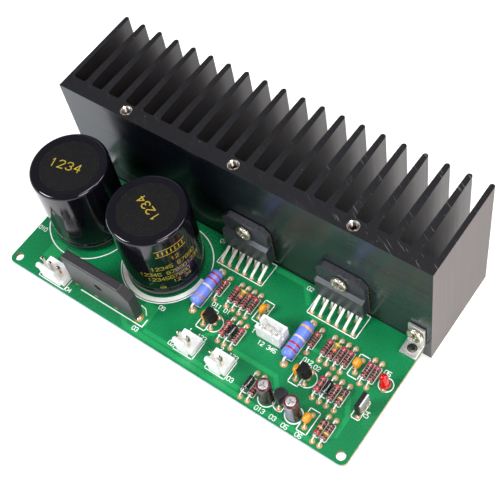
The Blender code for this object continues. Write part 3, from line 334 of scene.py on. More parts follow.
def flat_line(path, width, low, high):
    """A flat strip along a path, between two levels."""
    return prism(ribbon(path, width), low, high)


def softened(points, radius, steps=4):
    """A path with its corners rounded."""
    path = [Vector(points[0])]
    for before, turn, after in zip(points, points[1:], points[2:]):
        turn = Vector(turn)
        back = Vector(before) - turn
        ahead = Vector(after) - turn
        reach = min(radius, back.length * 0.45, ahead.length * 0.45)
        start = turn + back.normalized() * reach
        end = turn + ahead.normalized() * reach
        for step in range(steps + 1):
            along = step / steps
            path.append(start * (1 - along) ** 2 + turn * 2 * along * (1 - along) + end * along**2)
    path.append(Vector(points[-1]))
    return path


def wire(points, diameter=WIRE, bend=0.8, sides=12):
    """A round wire along a path, with its corners bent."""
    path = softened(points, bend)
    bm = bmesh.new()
    hoops = []
    up = (path[1] - path[0]).normalized().orthogonal().normalized()
    for index, point in enumerate(path):
        ahead = (path[min(index + 1, len(path) - 1)] - path[max(index - 1, 0)]).normalized()
        up = (up - ahead * up.dot(ahead)).normalized()
        side = ahead.cross(up)
        turns = [step / sides * math.tau for step in range(sides)]
        around = [(up * math.cos(turn) + side * math.sin(turn)) * diameter / 2 for turn in turns]
        hoops.append([bm.verts.new(point + reach) for reach in around])
    for one, two in zip(hoops, hoops[1:]):
        for step in range(sides):
            after = (step + 1) % sides
            bm.faces.new((one[step], one[after], two[after], two[step]))
    bm.faces.new(hoops[0][::-1])
    bm.faces.new(hoops[-1])
    return closed(bm)


def straight_pair(spread, top, diameter=WIRE):
    """Two straight wires, in front of the middle and behind it."""
    return [wire([(0, sign * spread, top), (0, sign * spread, LEAD_END)], diameter) for sign in (1, -1)]


def strip_lead(path, width, thickness, x=0.0):
    """A stamped lead in the plane of one x, from (y, z) points, with rounded bends and eased edges."""
    strip = prism(ribbon(softened(path, 0.7, 3), thickness), x - width / 2, x + width / 2, "X")
    return eased(strip, 0.06, 1)


def rounded(length, depth, radius, steps=10):
    """The outline of a rectangle from the origin, with round corners."""
    points = []
    right = length - radius
    back = depth - radius
    for quarter, (x, y) in enumerate(((right, back), (radius, back), (radius, radius), (right, radius))):
        for step in range(steps + 1):
            turn = (quarter + step / steps) * math.pi / 2
            points.append((x + radius * math.cos(turn), y + radius * math.sin(turn)))
    return points


def arc(x, y, radius, start, end, steps=40):
    """Points along part of a circle, between two angles in degrees."""
    turns = [math.radians(start + (end - start) * step / steps) for step in range(steps + 1)]
    return [(x + radius * math.cos(turn), y + radius * math.sin(turn)) for turn in turns]


STROKES = {
    "0": "10 30 41 45 36 16 05 01 10",
    "1": "15 26 20",
    "2": "05 16 36 45 44 00 40",
    "3": "05 16 36 45 44 33 23/33 42 41 30 10 01",
    "4": "30 36 02 42",
    "5": "46 06 03 33 42 41 30 10 01",
    "6": "45 36 16 05 01 10 30 41 42 33 03",
    "7": "06 46 10",
    "8": "13 04 05 16 36 45 44 33 13 02 01 10 30 41 42 33",
    "9": "01 10 30 41 45 36 16 05 04 13 43",
}


def figures(text, height, stroke, gap=1.1):
    """Plain figures in even strokes, flat on the origin; their strokes are on a grid of four by six."""
    unit = height / 6
    step = (4 + gap) * unit
    left = -(len(text) * step - gap * unit) / 2
    strips = []
    for index, figure in enumerate(text):
        start = left + index * step
        for line in STROKES.get(figure, "").split("/"):
            spots = [Vector((start + int(u) * unit, (int(v) - 3) * unit)) for u, v in line.split()]
            for before, after in zip(spots, spots[1:]):
                reach = (after - before).normalized() * stroke * 0.4
                lift = len(strips) % 8 * 0.0015
                strips.append(flat_line([before - reach, after + reach], stroke, -0.03, lift))
    return joined(strips)


def assembled(parts):
    """One mesh of several, given as (mesh, material) pairs."""
    bm = bmesh.new()
    materials = []
    for mesh, material in parts:
        if material not in materials:
            materials.append(material)
        first = len(bm.faces)
        bm.from_mesh(mesh)
        bm.faces.ensure_lookup_table()
        for face in bm.faces[first:]:
            face.material_index = materials.index(material)
    result = closed(bm, False)
    for material in materials:
        result.materials.append(material)
    return result


def place_piece(name, parts, place, node=None, turn=(0, 0, 0)):
    """One named piece that rides on the frame, made of (mesh, material) pairs in millimetres."""
    mesh = assembled(parts)
    mesh.name = name
    mesh.transform(Matrix.Scale(0.001, 4))
    mesh.shade_smooth()
    mesh.set_sharp_from_angle(angle=math.radians(38))
    item = bpy.data.objects.new(name, mesh)
    item.location = place
    item.rotation_euler = turn
    scene.collection.objects.link(item)
    even = item.modifiers.new("flat faces stay flat", "WEIGHTED_NORMAL")
    even.keep_sharp = True
    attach(item, "root")
    if node:
        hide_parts(node)


def stand(name, parts, node, height=0.0, turn=0.0):
    """A piece in a CAD node's stead, over the middle of its leads."""
    x, y = middle_of_leads(node)
    place_piece(name, parts, on_board(x, y, height), node, (0, 0, turn))


# Materials


def seen(red, green, blue):
    """A colour as it looks, 0 to 255, as the shader's own numbers."""
    return (*((channel / 255) ** 2.2 for channel in (red, green, blue)), 1.0)


def connect(tree, node, sockets):
    """Sets a node's inputs, or links those whose value is another node's output."""
    for key, value in sockets.items():
        if isinstance(value, bpy.types.NodeSocket):
            tree.links.new(value, node.inputs[key])
        else:
            node.inputs[key].default_value = value


def add_node(tree, kind, sockets, **settings):
    """The outputs of a new shader node with its settings and inputs."""
    made = tree.nodes.new("ShaderNode" + kind)
    for key, value in settings.items():
        setattr(made, key, value)
    connect(tree, made, sockets)
    return made.outputs


def worked(tree, operation, first, second):
    """The result of a sum on two values."""
    return add_node(tree, "Math", {0: first, 1: second}, operation=operation)[0]


def scaled(tree, vector, factor):
    return add_node(tree, "VectorMath", {0: vector, "Scale": factor}, operation="SCALE")["Vector"]


def stretched(tree, vector, factors):
    return add_node(tree, "VectorMath", {0: vector, 1: factors}, operation="MULTIPLY")["Vector"]


def spread(tree, value, low=0.0, high=1.0, span=(0.3, 0.7)):
    """A value taken from its own span to the one between low and high."""
    sockets = {"Value": value, "From Min": span[0], "From Max": span[1], "To Min": low, "To Max": high}
    return add_node(tree, "MapRange", sockets)[0]


def noise(tree, place, scale, detail):
    return add_node(tree, "TexNoise", {"Vector": place, "Scale": scale, "Detail": detail})[0]


def in_millimetres(tree):
    """Places on the piece itself, in millimetres."""
    return scaled(tree, add_node(tree, "TexCoord", {})["Object"], 1000.0)


def along(tree, axis):
    """How far a place on the piece lies along an axis, in millimetres."""
    return add_node(tree, "SeparateXYZ", {"Vector": in_millimetres(tree)})[axis]


def per(tree, size):
    """The noise scale for a size in millimetres."""
    return worked(tree, "DIVIDE", 1.0, size)


def shaded(tree, colour, value, amount):
    """A colour made lighter and darker by a value, up to an amount."""
    low = worked(tree, "SUBTRACT", 1.0, amount)
    high = worked(tree, "ADD", 1.0, amount)
    return scaled(tree, colour, spread(tree, value, low, high))


def laid_over(tree, colour, other, share):
    """A colour with another over it, as dense as the share."""
    return add_node(tree, "Mix", {0: share, 6: colour, 7: other}, data_type="RGBA")[2]


def fill_mottled(tree, given):
    """A colour that drifts lighter and darker in soft patches."""
    patches = noise(tree, in_millimetres(tree), per(tree, given["Patch"]), 4.0)
    return {"Colour": shaded(tree, given["Colour"], patches, given["Amount"])}


def fill_grain(tree, given):
    """The fine grain of a moulded, coated or sawn face, as a height and a roughness."""
    grains = noise(tree, in_millimetres(tree), per(tree, given["Grain"]), 3.0)
    return {"Height": grains, "Roughness": spread(tree, grains, given["Smoothest"], given["Roughest"])}


def fill_streaks(tree, given):
    """Streaks left along a metal by rolling, drawing or extruding it."""
    streaks = noise(tree, stretched(tree, in_millimetres(tree), given["Stretch"]), 1.0, 5.0)
    return {
        "Colour": shaded(tree, given["Colour"], streaks, given["Amount"]),
        "Roughness": spread(tree, streaks, given["Smoothest"], given["Roughest"]),
        "Height": streaks,
    }


def fill_specks(tree, given):
    """Scattered pale specks over a colour."""
    scale = per(tree, given["Spacing"])
    cells = add_node(tree, "TexVoronoi", {"Vector": in_millimetres(tree), "Scale": scale})
    near = worked(tree, "LESS_THAN", cells["Distance"], given["Size"])
    chance = add_node(tree, "SeparateColor", {"Color": cells["Color"]})[0]
    few = worked(tree, "LESS_THAN", chance, SPECK_SHARE)
    return {"Colour": laid_over(tree, given["Colour"], given["Speck"], worked(tree, "MULTIPLY", near, few))}


def fill_scratches(tree, given):
    """Thin pale scratches, all about one way and mostly at the right end, over a colour."""
    slanted = {"Vector": in_millimetres(tree), "Angle": 0.55}
    slant = add_node(tree, "VectorRotate", slanted, rotation_type="Z_AXIS")["Vector"]
    strokes = noise(tree, stretched(tree, slant, (0.12, 2.2, 1.0)), 1.0, 2.0)
    lines = spread(tree, strokes, span=(0.64, 0.72))
    wear = spread(tree, along(tree, "X"), 0.12, 0.9, (96.0, 128.0))
    worn = worked(tree, "MULTIPLY", lines, wear)
    return {"Colour": laid_over(tree, given["Colour"], given["Scratch"], worn)}


WHITE = (1, 1, 1, 1)
BLANK = (0, 0, 0, 1)
PALE = (0.5, 0.5, 0.5, 1)
SOCKET_KINDS = {"Colour": "Color", "Speck": "Color", "Scratch": "Color", "Stretch": "Vector"}


def make_group(name, fill, inputs, outputs):
    """A shader group with named inputs and outputs, filled with nodes by one of the functions above."""
    group = bpy.data.node_groups.new(name, "ShaderNodeTree")
    kinds = {label: "NodeSocket" + SOCKET_KINDS.get(label, "Float") for label in (*inputs, *outputs)}
    for label, value in inputs.items():
        socket = group.interface.new_socket(label, in_out="INPUT", socket_type=kinds[label])
        socket.default_value = value
    for label in outputs:
        group.interface.new_socket(label, in_out="OUTPUT", socket_type=kinds[label])
    given = group.nodes.new("NodeGroupInput").outputs
    connect(group, group.nodes.new("NodeGroupOutput"), fill(group, given))
    return group


MOTTLED = make_group(
    "mottled_colour", fill_mottled, {"Colour": WHITE, "Patch": 5.0, "Amount": 0.1}, ["Colour"]
)
GRAIN = make_group(
    "moulded_grain", fill_grain, {"Grain": 0.2, "Smoothest": 0.3, "Roughest": 0.5}, ["Height", "Roughness"]
)
STREAKS = make_group(
    "drawn_streaks", fill_streaks,
    {"Stretch": (1.0, 1.0, 0.05), "Colour": WHITE, "Amount": 0.2, "Smoothest": 0.2, "Roughest": 0.35},
    ["Colour", "Roughness", "Height"],
)
SPECKS = make_group(
    "dust_specks", fill_specks, {"Colour": BLANK, "Speck": PALE, "Spacing": 2.0, "Size": 0.05}, ["Colour"]
)
SCRATCHES = make_group("scratches", fill_scratches, {"Colour": BLANK, "Scratch": PALE}, ["Colour"])


def use_group(tree, group, **sockets):
    made = tree.nodes.new("ShaderNodeGroup")
    made.node_tree = group
    connect(tree, made, sockets)
    return made.outputs


def mottled(tree, colour, patch, amount):
    return use_group(tree, MOTTLED, Colour=colour, Patch=patch, Amount=amount)["Colour"]


def streaked(tree, colour, stretch, amount, rough):
    return use_group(
        tree, STREAKS, Stretch=stretch, Colour=colour, Amount=amount, Smoothest=rough[0], Roughest=rough[1]
    )


def specked(tree, colour, speck, spacing, size):
    return use_group(tree, SPECKS, Colour=colour, Speck=seen(*speck), Spacing=spacing, Size=size)["Colour"]


def new_material(name, **values):
    """A material and its node tree, with its shader's plain values set by name."""
    material = bpy.data.materials.new(name)
    material.use_nodes = True
    values = {key.replace("_", " "): value for key, value in values.items()}
    connect(material.node_tree, material.node_tree.nodes["Principled BSDF"], values)
    return material, material.node_tree


def surfaced(material, colour, surface, depth):
    """Links a colour, and a surface's roughness and height, so many millimetres deep, to the shader."""
    tree = material.node_tree
    bump = add_node(tree, "Bump", {"Height": surface["Height"], "Strength": 1.0, "Distance": depth / 1000})
    looks = {"Base Color": colour, "Roughness": surface["Roughness"], "Normal": bump["Normal"]}
    connect(tree, tree.nodes["Principled BSDF"], looks)
    return material


def grained(material, colour, grain, rough, depth):
    """A material with a colour and the fine grain of a moulded face."""
    surface = use_group(material.node_tree, GRAIN, Grain=grain, Smoothest=rough[0], Roughest=rough[1])
    return surfaced(material, colour, surface, depth)


def moulded(name, colour, patch, amount, grain, rough, depth, **values):
    """A moulded, dipped or coated finish: soft mottling under a fine grain."""
    material, tree = new_material(name, **values)
    return grained(material, mottled(tree, seen(*colour), patch, amount), grain, rough, depth)


def drawn(name, colour, stretch, amount, rough, depth, **values):
    """A metal finish with streaks along it."""
    material, tree = new_material(name, **values)
    streaks = streaked(tree, seen(*colour), stretch, amount, rough)
    return surfaced(material, streaks["Colour"], streaks, depth)


def stepped(tree, share, steps, blend="CONSTANT"):
    """Colours along a share from 0 to 1, from (where each starts, colour) steps."""
    ramp = tree.nodes.new("ShaderNodeValToRGB")
    connect(tree, ramp, {"Fac": share})
    ramp.color_ramp.interpolation = blend
    elements = ramp.color_ramp.elements
    while len(elements) < len(steps):
        elements.new(1.0)
    for element, (start, colour) in zip(elements, steps):
        element.position = start
        element.color = seen(*colour)
    return ramp.outputs["Color"]


def banded(name, bands, length, rough=(0.16, 0.28), patch=1.2, amount=0.16, grain=0.3, coat=0.5, **values):
    """A lacquer with rings of colour along Y, as (where each starts from 0 to 1, colour) from the front."""
    material, tree = new_material(name, Coat_Weight=coat, Coat_IOR=1.8, Coat_Roughness=0.1, **values)
    share = spread(tree, along(tree, "Y"), span=(-length / 2, length / 2))
    return grained(material, mottled(tree, stepped(tree, share, bands), patch, amount), grain, rough, 0.012)


def rings(ground, marks):
    """Ramp steps for bands of colour, given as (middle, width, colour), on a ground colour."""
    steps = [(0.0, ground)]
    for middle, width, colour in marks:
        steps += [(middle - width / 2, colour), (middle + width / 2, ground)]
    return steps


def make_mask():
    """Green solder mask: glossy, a little lighter and darker in wide patches."""
    material, tree = new_material("solder_mask")
    wide = mottled(tree, seen(18, 123, 73), 34.0, 0.14)
    return grained(material, mottled(tree, wide, 5.0, 0.02), 0.8, (0.24, 0.32), 0.0008)


def make_sink_front():
    """Smooth black anodising, close to a mirror, with lines of the extrusion, a bluish painted reflection at
    the left end and a lighter teal painted sheen towards the right.
    """
    tint = (0.74, 0.84, 1.0, 1.0)
    material, tree = new_material("anodised_front_painted_sheen", Specular_IOR_Level=0.32, Specular_Tint=tint)
    share = spread(tree, along(tree, "X"), span=(0.0, SINK_LENGTH))
    # Painted reflection and sheen: the colour runs from bluish at the left end, through dark, to a lighter
    # teal at the right end.
    painted_sheen_steps = [(0.0, (24, 30, 40)), (0.2, (14, 16, 20)), (0.42, (16, 18, 22)), (0.85, (50, 61, 59))]
    streaks = streaked(tree, stepped(tree, share, painted_sheen_steps, "LINEAR"), (0.012, 1.0, 0.6), 0.1, (0.16, 0.23))
    return surfaced(material, specked(tree, streaks["Colour"], (120, 122, 130), 9.0, 0.014), streaks, 0.0003)


def make_cut_face():
    """The heatsink's sawn and anodised ends: charcoal, fine grain, a few bright specks."""
    material, tree = new_material("anodised_cut", Metallic=0.2)
    tint = mottled(tree, mottled(tree, seen(26, 25, 30), 1.2, 0.2), 30.0, 0.25)
    tint = use_group(tree, SCRATCHES, Colour=tint, Scratch=seen(128, 126, 128))["Colour"]
    return grained(material, specked(tree, tint, (170, 170, 172), 2.6, 0.045), 0.16, (0.42, 0.62), 0.03)


def make_disc_finish():
    """Matt black insulation with a fine speckle."""
    material, tree = new_material("disc_insulation", Specular_IOR_Level=0.3)
    tint = specked(tree, mottled(tree, seen(5, 5, 8), 0.25, 0.3), (54, 51, 56), 0.45, 0.24)
    return grained(material, tint, 0.22, (0.55, 0.75), 0.03)


def make_small_sleeve():
    """Dark shrink sleeve with one pale stripe down its side."""
    material, tree = new_material("small_can_sleeve")
    around = worked(tree, "ARCTAN2", along(tree, "Y"), along(tree, "X"))
    ground = (46, 24, 32)
    stripe = [(0.0, ground), (0.13, (134, 128, 148)), (0.36, ground)]
    tint = stepped(tree, spread(tree, around, span=(-math.pi, math.pi)), stripe)
    return grained(material, mottled(tree, tint, 1.5, 0.15), 0.5, (0.16, 0.3), 0.01)


MASK = make_mask()
TRACK = moulded("mask_over_track", (33, 147, 85), 9.0, 0.05, 0.8, (0.24, 0.32), 0.0008)
LAMINATE = moulded("laminate_edge", (172, 190, 198), 1.5, 0.14, 0.2, (0.5, 0.7), 0.03)
LAMINATE_END = moulded("sawn_laminate", (190, 168, 136), 1.5, 0.14, 0.2, (0.5, 0.7), 0.03)
# The walls of the board's holes: a darker copy of the laminate, as painted shade in the holes.
SHADED_HOLE_WALL = moulded("drilled_laminate_painted_shade", (112, 94, 66), 0.8, 0.2, 0.2, (0.5, 0.7), 0.03)
PRINT_WHITE = moulded("white_print", (252, 253, 252), 1.5, 0.03, 0.3, (0.45, 0.6), 0.005)
PRINT_GOLD = moulded("gold_print", (196, 168, 58), 0.6, 0.25, 0.2, (0.35, 0.5), 0.005, Metallic=0.4)
PAD = moulded("pad_copper", (204, 152, 100), 0.8, 0.12, 0.2, (0.3, 0.45), 0.01, Metallic=0.2)
SOLDER = moulded("solder", (218, 206, 194), 0.8, 0.14, 0.4, (0.25, 0.4), 0.02, Metallic=0.6)
TINNED = drawn("tinned_lead", (243, 240, 236), (1.2, 0.3, 0.3), 0.05, (0.22, 0.34), 0.005, Metallic=0.25)
# The dark finish of the sheared pin tops, and also of the bars in the small cans' vents, where it is painted
# shade.
SHEARED_END_AND_VENT_SHADE = moulded("sheared_end_and_vent_shade", (92, 80, 70), 0.5, 0.1, 0.2, (0.4, 0.55), 0.004, Metallic=0.4)
GOLDEN_PIN = drawn("tinned_pin", (236, 224, 208), (1.5, 1.5, 0.2), 0.04, (0.07, 0.13), 0.002, Metallic=1.0)
NICKEL = moulded("nickel_screw", (224, 216, 196), 1.5, 0.06, 0.5, (0.24, 0.32), 0.001, Metallic=0.95)
# A dark fill for the screws' cross recesses: painted shade.
RECESS_SHADE = moulded("painted_recess_shade", (26, 24, 20), 0.8, 0.2, 0.3, (0.4, 0.55), 0.01)
SCREW_TIP_SHADE = moulded("painted_screw_tip_shade", (24, 28, 40), 0.8, 0.15, 0.3, (0.3, 0.4), 0.01)
BRACKET_STEEL = drawn(
    "plated_sheet", (232, 230, 228), (0.15, 1.0, 1.0), 0.03, (0.26, 0.31), 0.0006, Metallic=0.75
)
HOLE_RIM = moulded("cut_rim", (222, 218, 214), 0.8, 0.1, 0.3, (0.22, 0.32), 0.004, Metallic=0.85)
# The threads: a darker copy of the bare metal of the hole rims, as painted shade down in the tapped holes.
SHADED_THREAD = moulded("cut_thread_painted_shade", (132, 122, 116), 0.8, 0.1, 0.3, (0.24, 0.34), 0.004, Metallic=0.85)
SINK_FACE = make_sink_front()
# The heatsink's end faces: a lighter, more metallic copy of the fins' black anodising, as painted light on
# the ends.
END_FACE_PAINTED_LIGHT = drawn("anodised_ends_painted_light", (108, 100, 98), (2.5, 2.5, 0.02), 0.14, (0.38, 0.5), 0.01, Metallic=0.75)
FIN_SIDE = drawn(
    "anodised_fins", (34, 31, 32), (2.5, 2.5, 0.02), 0.2, (0.28, 0.4), 0.012,
    Metallic=0.1, Specular_IOR_Level=0.9, Specular_Tint=(1.0, 0.95, 0.93, 1.0),
)
CUT_FACE = make_cut_face()
SLEEVE = moulded(
    "capacitor_sleeve", (20, 19, 25), 8.0, 0.2, 1.6, (0.08, 0.14), 0.006, Specular_Tint=(0.96, 0.9, 1.0, 1.0)
)
DISC = make_disc_finish()
BRIDGE = moulded("bridge_moulding", (50, 48, 51), 3.0, 0.1, 0.18, (0.36, 0.5), 0.02)
CHIP = moulded("chip_moulding", (53, 55, 62), 2.5, 0.12, 0.14, (0.3, 0.42), 0.015, Specular_IOR_Level=0.7)
CHIP_TOP = moulded("chip_upper_face", (60, 59, 65), 0.9, 0.6, 0.25, (0.4, 0.6), 0.05)
BACK_PLATE = drawn("chip_back_plate", (126, 118, 98), (0.2, 2.0, 2.0), 0.1, (0.3, 0.42), 0.005, Metallic=0.7)
CERAMIC = moulded("orange_dip", (238, 152, 34), 1.2, 0.12, 0.7, (0.14, 0.26), 0.03, Coat_Weight=0.5)
SMALL_MOULD = moulded("small_moulding", (17, 16, 18), 1.5, 0.15, 0.12, (0.4, 0.6), 0.015)
GREY_MOULD = moulded("grey_moulding", (40, 40, 43), 1.5, 0.15, 0.12, (0.36, 0.5), 0.015)
SMALL_SLEEVE = make_small_sleeve()
SLEEVE_RIM = moulded("sleeve_rim", (86, 34, 46), 0.5, 0.35, 0.3, (0.18, 0.3), 0.03, Coat_Weight=0.3)
CAN_TOP = moulded("can_top", (226, 221, 222), 0.8, 0.06, 0.4, (0.26, 0.36), 0.004, Metallic=0.6)
NYLON = moulded("ivory_nylon", (243, 244, 245), 3.0, 0.02, 0.5, (0.3, 0.42), 0.015)
TAB_METAL = drawn("transistor_tab", (158, 158, 160), (1.0, 2.0, 0.2), 0.06, (0.36, 0.46), 0.002, Metallic=0.7)
# A pale strip on the tab transistor's top edge: painted highlight.
TAB_EDGE_HIGHLIGHT = drawn("painted_tab_edge_highlight", (246, 246, 244), (1.0, 0.2, 0.2), 0.04, (0.3, 0.4), 0.002, Metallic=0.2)
RED_LENS = moulded("red_lens", (204, 12, 12), 1.5, 0.14, 0.8, (0.05, 0.1), 0.01, Coat_Weight=0.2)

BROWN = (146, 86, 83)
RED = (172, 52, 62)
BLACK = (28, 16, 19)
WINE = (64, 26, 32)
YELLOW = (236, 200, 48)
ORANGE = (226, 122, 44)
OLIVE = (120, 132, 52)
BLUE = (112, 136, 240)
CREAM = (226, 208, 190)
SMALL_BANDS = {
    "lacquer_red_top": [
        (0.14, 0.09, WINE), (0.32, 0.08, BLACK), (0.5, 0.08, BLACK), (0.66, 0.08, WINE), (0.84, 0.12, RED),
    ],
    "lacquer_red_ends": [
        (0.13, 0.14, RED), (0.32, 0.09, WINE), (0.5, 0.08, RED), (0.66, 0.09, WINE), (0.86, 0.16, RED),
    ],
    "lacquer_yellow_top": [
        (0.14, 0.1, WINE), (0.32, 0.09, BLACK), (0.52, 0.12, ORANGE), (0.7, 0.1, OLIVE), (0.87, 0.13, YELLOW),
    ],
    "lacquer_yellow_low": [
        (0.14, 0.1, WINE), (0.33, 0.08, YELLOW), (0.52, 0.09, BLACK), (0.7, 0.09, BLACK), (0.88, 0.13, WINE),
    ],
    "lacquer_yellow_middle": [
        (0.13, 0.12, RED), (0.3, 0.08, WINE), (0.46, 0.07, YELLOW), (0.64, 0.09, BLACK), (0.88, 0.13, WINE),
    ],
}
SMALL_LACQUERS = {name: banded(name, rings(BROWN, marks), 6.2) for name, marks in SMALL_BANDS.items()}
LACQUER_OF = {
    3: "yellow_top", 6: "red_ends", 10: "yellow_top", 13: "red_ends", 17: "yellow_low", 19: "yellow_middle",
    20: "yellow_low",
}
POWER_BANDS = {
    "blue_lacquer_1": [
        (0.19, 0.035, (206, 122, 78)), (0.5, 0.045, CREAM), (0.7, 0.05, RED), (0.84, 0.05, RED),
    ],
    "blue_lacquer_2": [
        (0.2, 0.05, RED), (0.34, 0.05, RED), (0.53, 0.045, CREAM), (0.82, 0.05, (226, 170, 84)),
    ],
}
POWER_LACQUERS = [
    banded(name, rings(BLUE, marks), 15.2, (0.28, 0.4), 4.0, 0.05, 0.5, 0.1)
    for name, marks in POWER_BANDS.items()
]
DIODE = banded(
    "diode_moulding", [(0.0, (16, 16, 20)), (0.07, (110, 114, 128)), (0.15, (16, 16, 20))],
    5.2, (0.12, 0.2), 1.5, 0.1, 0.4, Specular_IOR_Level=1.0,
)


# The circuit board, with its print, tracks, pads and solder


def bracket_centres():
    return [sum(corner.x for corner in drawn_box(f"bracket_{side}")) / 2 for side in ("left", "right")]


def make_board():
    """The bored board, with another finish on its faces, its sawn ends and its edges, and painted shade on
    the walls of its holes.
    """
    blank = prism(rounded(BOARD_LENGTH, BOARD_DEPTH, BOARD_CORNER), -BOARD_THICKNESS, 0)
    holes = [(x, MOUNT_HOLE_INSET, MOUNT_HOLE) for x in (MOUNT_HOLE_INSET, BOARD_LENGTH - MOUNT_HOLE_INSET)]
    holes += [(x, BOARD_DEPTH - BRACKET_HOLE_INSET, SCREW_BORE) for x in bracket_centres()]
    drills = [drill(size, 4, (x, y, 0), "Z", 40) for x, y, size in holes]
    body = eased(carved(blank, [joined(drills)]), 0.08, 1, 60)

    def pick(face):
        if abs(face.normal.z) >= 0.5:
            return "face"
        place = face.calc_center_median()
        if 1 < place.x < BOARD_LENGTH - 1 and 1 < place.y < BOARD_DEPTH - 1:
            return "drilled"
        return "end" if abs(face.normal.x) > 0.6 else "edge"

    finishes = {"face": MASK, "drilled": SHADED_HOLE_WALL, "end": LAMINATE_END, "edge": LAMINATE}
    parts = [(mesh, finishes[key]) for key, mesh in shared_out(body, pick).items()]
    place_piece("circuit_board_body", parts, CORNER, "circuit_board")


def make_tracks():
    """Wide copper tracks that show lighter through the mask."""
    paths = [
        ([(54.0, 4.4), (57.6, 1.75), (136.5, 1.75), (141.0, 6.0)], 1.9),
        ([(64.4, 4.0), (107.0, 4.0)], 1.7),
        ([(96.6, 14.6), (114.8, 14.6), (119.2, 9.6)], 1.7),
        ([(82.0, 11.6), (87.8, 17.2)], 1.5),
        ([(139.3, 22.3), (143.5, 15.0), (143.5, 7.6), (140.2, 4.4)], 1.8),
        ([(90.4, 49.6), (103.6, 49.6), (109.2, 43.2)], 2.0),
        ([(119.6, 29.9), (123.4, 29.9)], 1.5),
        ([(116.6, 25.0), (122.4, 25.0)], 1.4),
        ([(111.8, 40.0), (117.6, 40.0)], 1.4),
        ([(58.0, 9.6), (64.0, 9.6)], 8.4),
        ([(10.5, 12.4), (16.4, 12.4)], 8.0),
    ]
    strips = [flat_line(path, width, TRACK_LOW, TRACK_HIGH) for path, width in paths]
    place_piece("board_tracks", [(joined(strips), TRACK)], CORNER)


def printed(path, width, lift=0.0):
    return flat_line(path, width, PRINT_LOW, PRINT_HIGH + lift)


def frame_line(left, front, right, back, width=0.36):
    """A printed rectangle, as four strips."""
    corners = [(left, front), (right, front), (right, back), (left, back)]
    half = width / 2
    strips = []
    for (x1, y1), (x2, y2) in zip(corners, corners[1:] + corners[:1]):
        across = (min(x1, x2) - half, max(x1, x2) + half)
        along_y = (min(y1, y2) - half, max(y1, y2) + half)
        strips.append(block(across, along_y, (PRINT_LOW, PRINT_HIGH)))
    return strips


# Printed frames round the middle of a part's leads: how far left, front, right and back, and the line's width
FRAMES = {
    "supply_connector": (-6.4, -3.3, 6.4, 5.1, 0.36),
    "output_connector": (-4.3, -3.2, 4.3, 4.5, 0.36),
    "ceramic_capacitor": (-2.0, -4.5, 2.0, 4.5, 0.36),
    "tab_transistor": (-2.2, -3.8, 0.9, 3.9, 0.36),
    "resistor": (-1.05, -3.25, 1.05, 3.4, 0.3),
    "diode": (-1.35, -3.1, 1.35, 3.1, 0.3),
    "power_resistor": (-1.85, -7.0, 1.85, 6.4, 0.34),
}
# Printed arcs about it: how far right and back, radius, start, end, steps and width
ARCS = {
    "filter_capacitor_1": (0, 0, 17.4, 0, 360, 90, 0.42),
    "filter_capacitor_2": (0, 0, 17.4, 0, 360, 90, 0.42),
    "indicator_lamp": (-0.2, 0.7, 2.6, 0, 360, 48, 0.36),
    "small_capacitor_1": (0, 0, 3.15, 0, 360, 48, 0.4),
    "small_capacitor_2": (0, 0, 3.15, 0, 360, 48, 0.5),
    "transistor_1": (0, -0.2, 3.3, -117, 117, 40, 0.36),
    "transistor_2": (0, -0.2, 3.3, -117, 117, 40, 0.36),
    "transistor_3": (-0.2, -0.2, 3.3, 63, 297, 40, 0.36),
}
NUMBERS = [
    ("010", 2.4, 17.5), ("09", 64.5, 14.5), ("03", 61.3, 2.8), ("04", 29.4, 1.9), ("011", 81.0, 25.9),
    ("01", 85.6, 25.9), ("12 345", 105.8, 22.1), ("012", 121.0, 25.1), ("02", 125.1, 24.6),
    ("013", 117.2, 1.65), ("03", 122.6, 1.65), ("05", 127.6, 1.3), ("06", 133.3, 1.2), ("02", 76.2, 5.2),
    ("03", 102.2, 5.2), ("123", 98.1, 12.7), ("123", 84.1, 12.7), ("1", 78.8, 12.9), ("2", 92.8, 12.9),
    ("01", 66.8, 49.0), ("02", 105.9, 49.1), ("05", 146.3, 35.7), ("7", 97.8, 33.3), ("8", 135.5, 31.8),
    ("1", 98.2, 24.7),
]


def make_print():
    """The white print: outlines round the parts, polarity marks and plain numbers."""
    strips = []
    for node in nodes:
        frame_of = FRAMES.get(node.rstrip("_0123456789"))
        if frame_of:
            x, y = middle_of_leads(node)
            left, front, right, back, width = frame_of
            strips += frame_line(x + left, y + front, x + right, y + back, width)
    for node, (side, behind, radius, start, end, steps, width) in ARCS.items():
        x, y = middle_of_leads(node)
        path = arc(x + side, y + behind, radius, start, end, steps)
        strips.append(printed(path, width))
        if node.startswith("transistor"):
            strips.append(printed([path[-1], path[0]], width, 0.002))
    x, y = middle_of_leads("filter_capacitor_2")
    strips.append(printed(arc(x, y, 15.95, 208, 364, 70), 1.8))
    strips.append(printed([(33.5, 4.6), (63.0, 4.6), (63.0, 8.0)], 0.4))
    strips.append(printed([(57.2, 11.4), (59.6, 11.1), (61.6, 9.0)], 0.34))
    for x in chip_centres():
        strips += frame_line(x - 10.1, 40.7, x + 10.1, BOARD_DEPTH - 0.4)
    place_piece("board_outlines", [(joined(strips), PRINT_WHITE)], CORNER)
    places = [(text, at(x, y, PRINT_HIGH)) for text, x, y in NUMBERS]
    places.append(("04", at(148.3, 19.4, PRINT_HIGH) @ turning(90)))
    marks = [moved(figures(text, FIGURE_HEIGHT, FIGURE_STROKE), place) for text, place in places]
    place_piece("board_numbers", [(joined(marks), PRINT_WHITE)], CORNER)


def pad_radius(node):
    if node.startswith(("filter", "bridge")):
        return 1.7
    if node.startswith(("power_resistor", "supply", "output")):
        return 1.4
    return 0.95 if node.startswith("amplifier") else 1.02


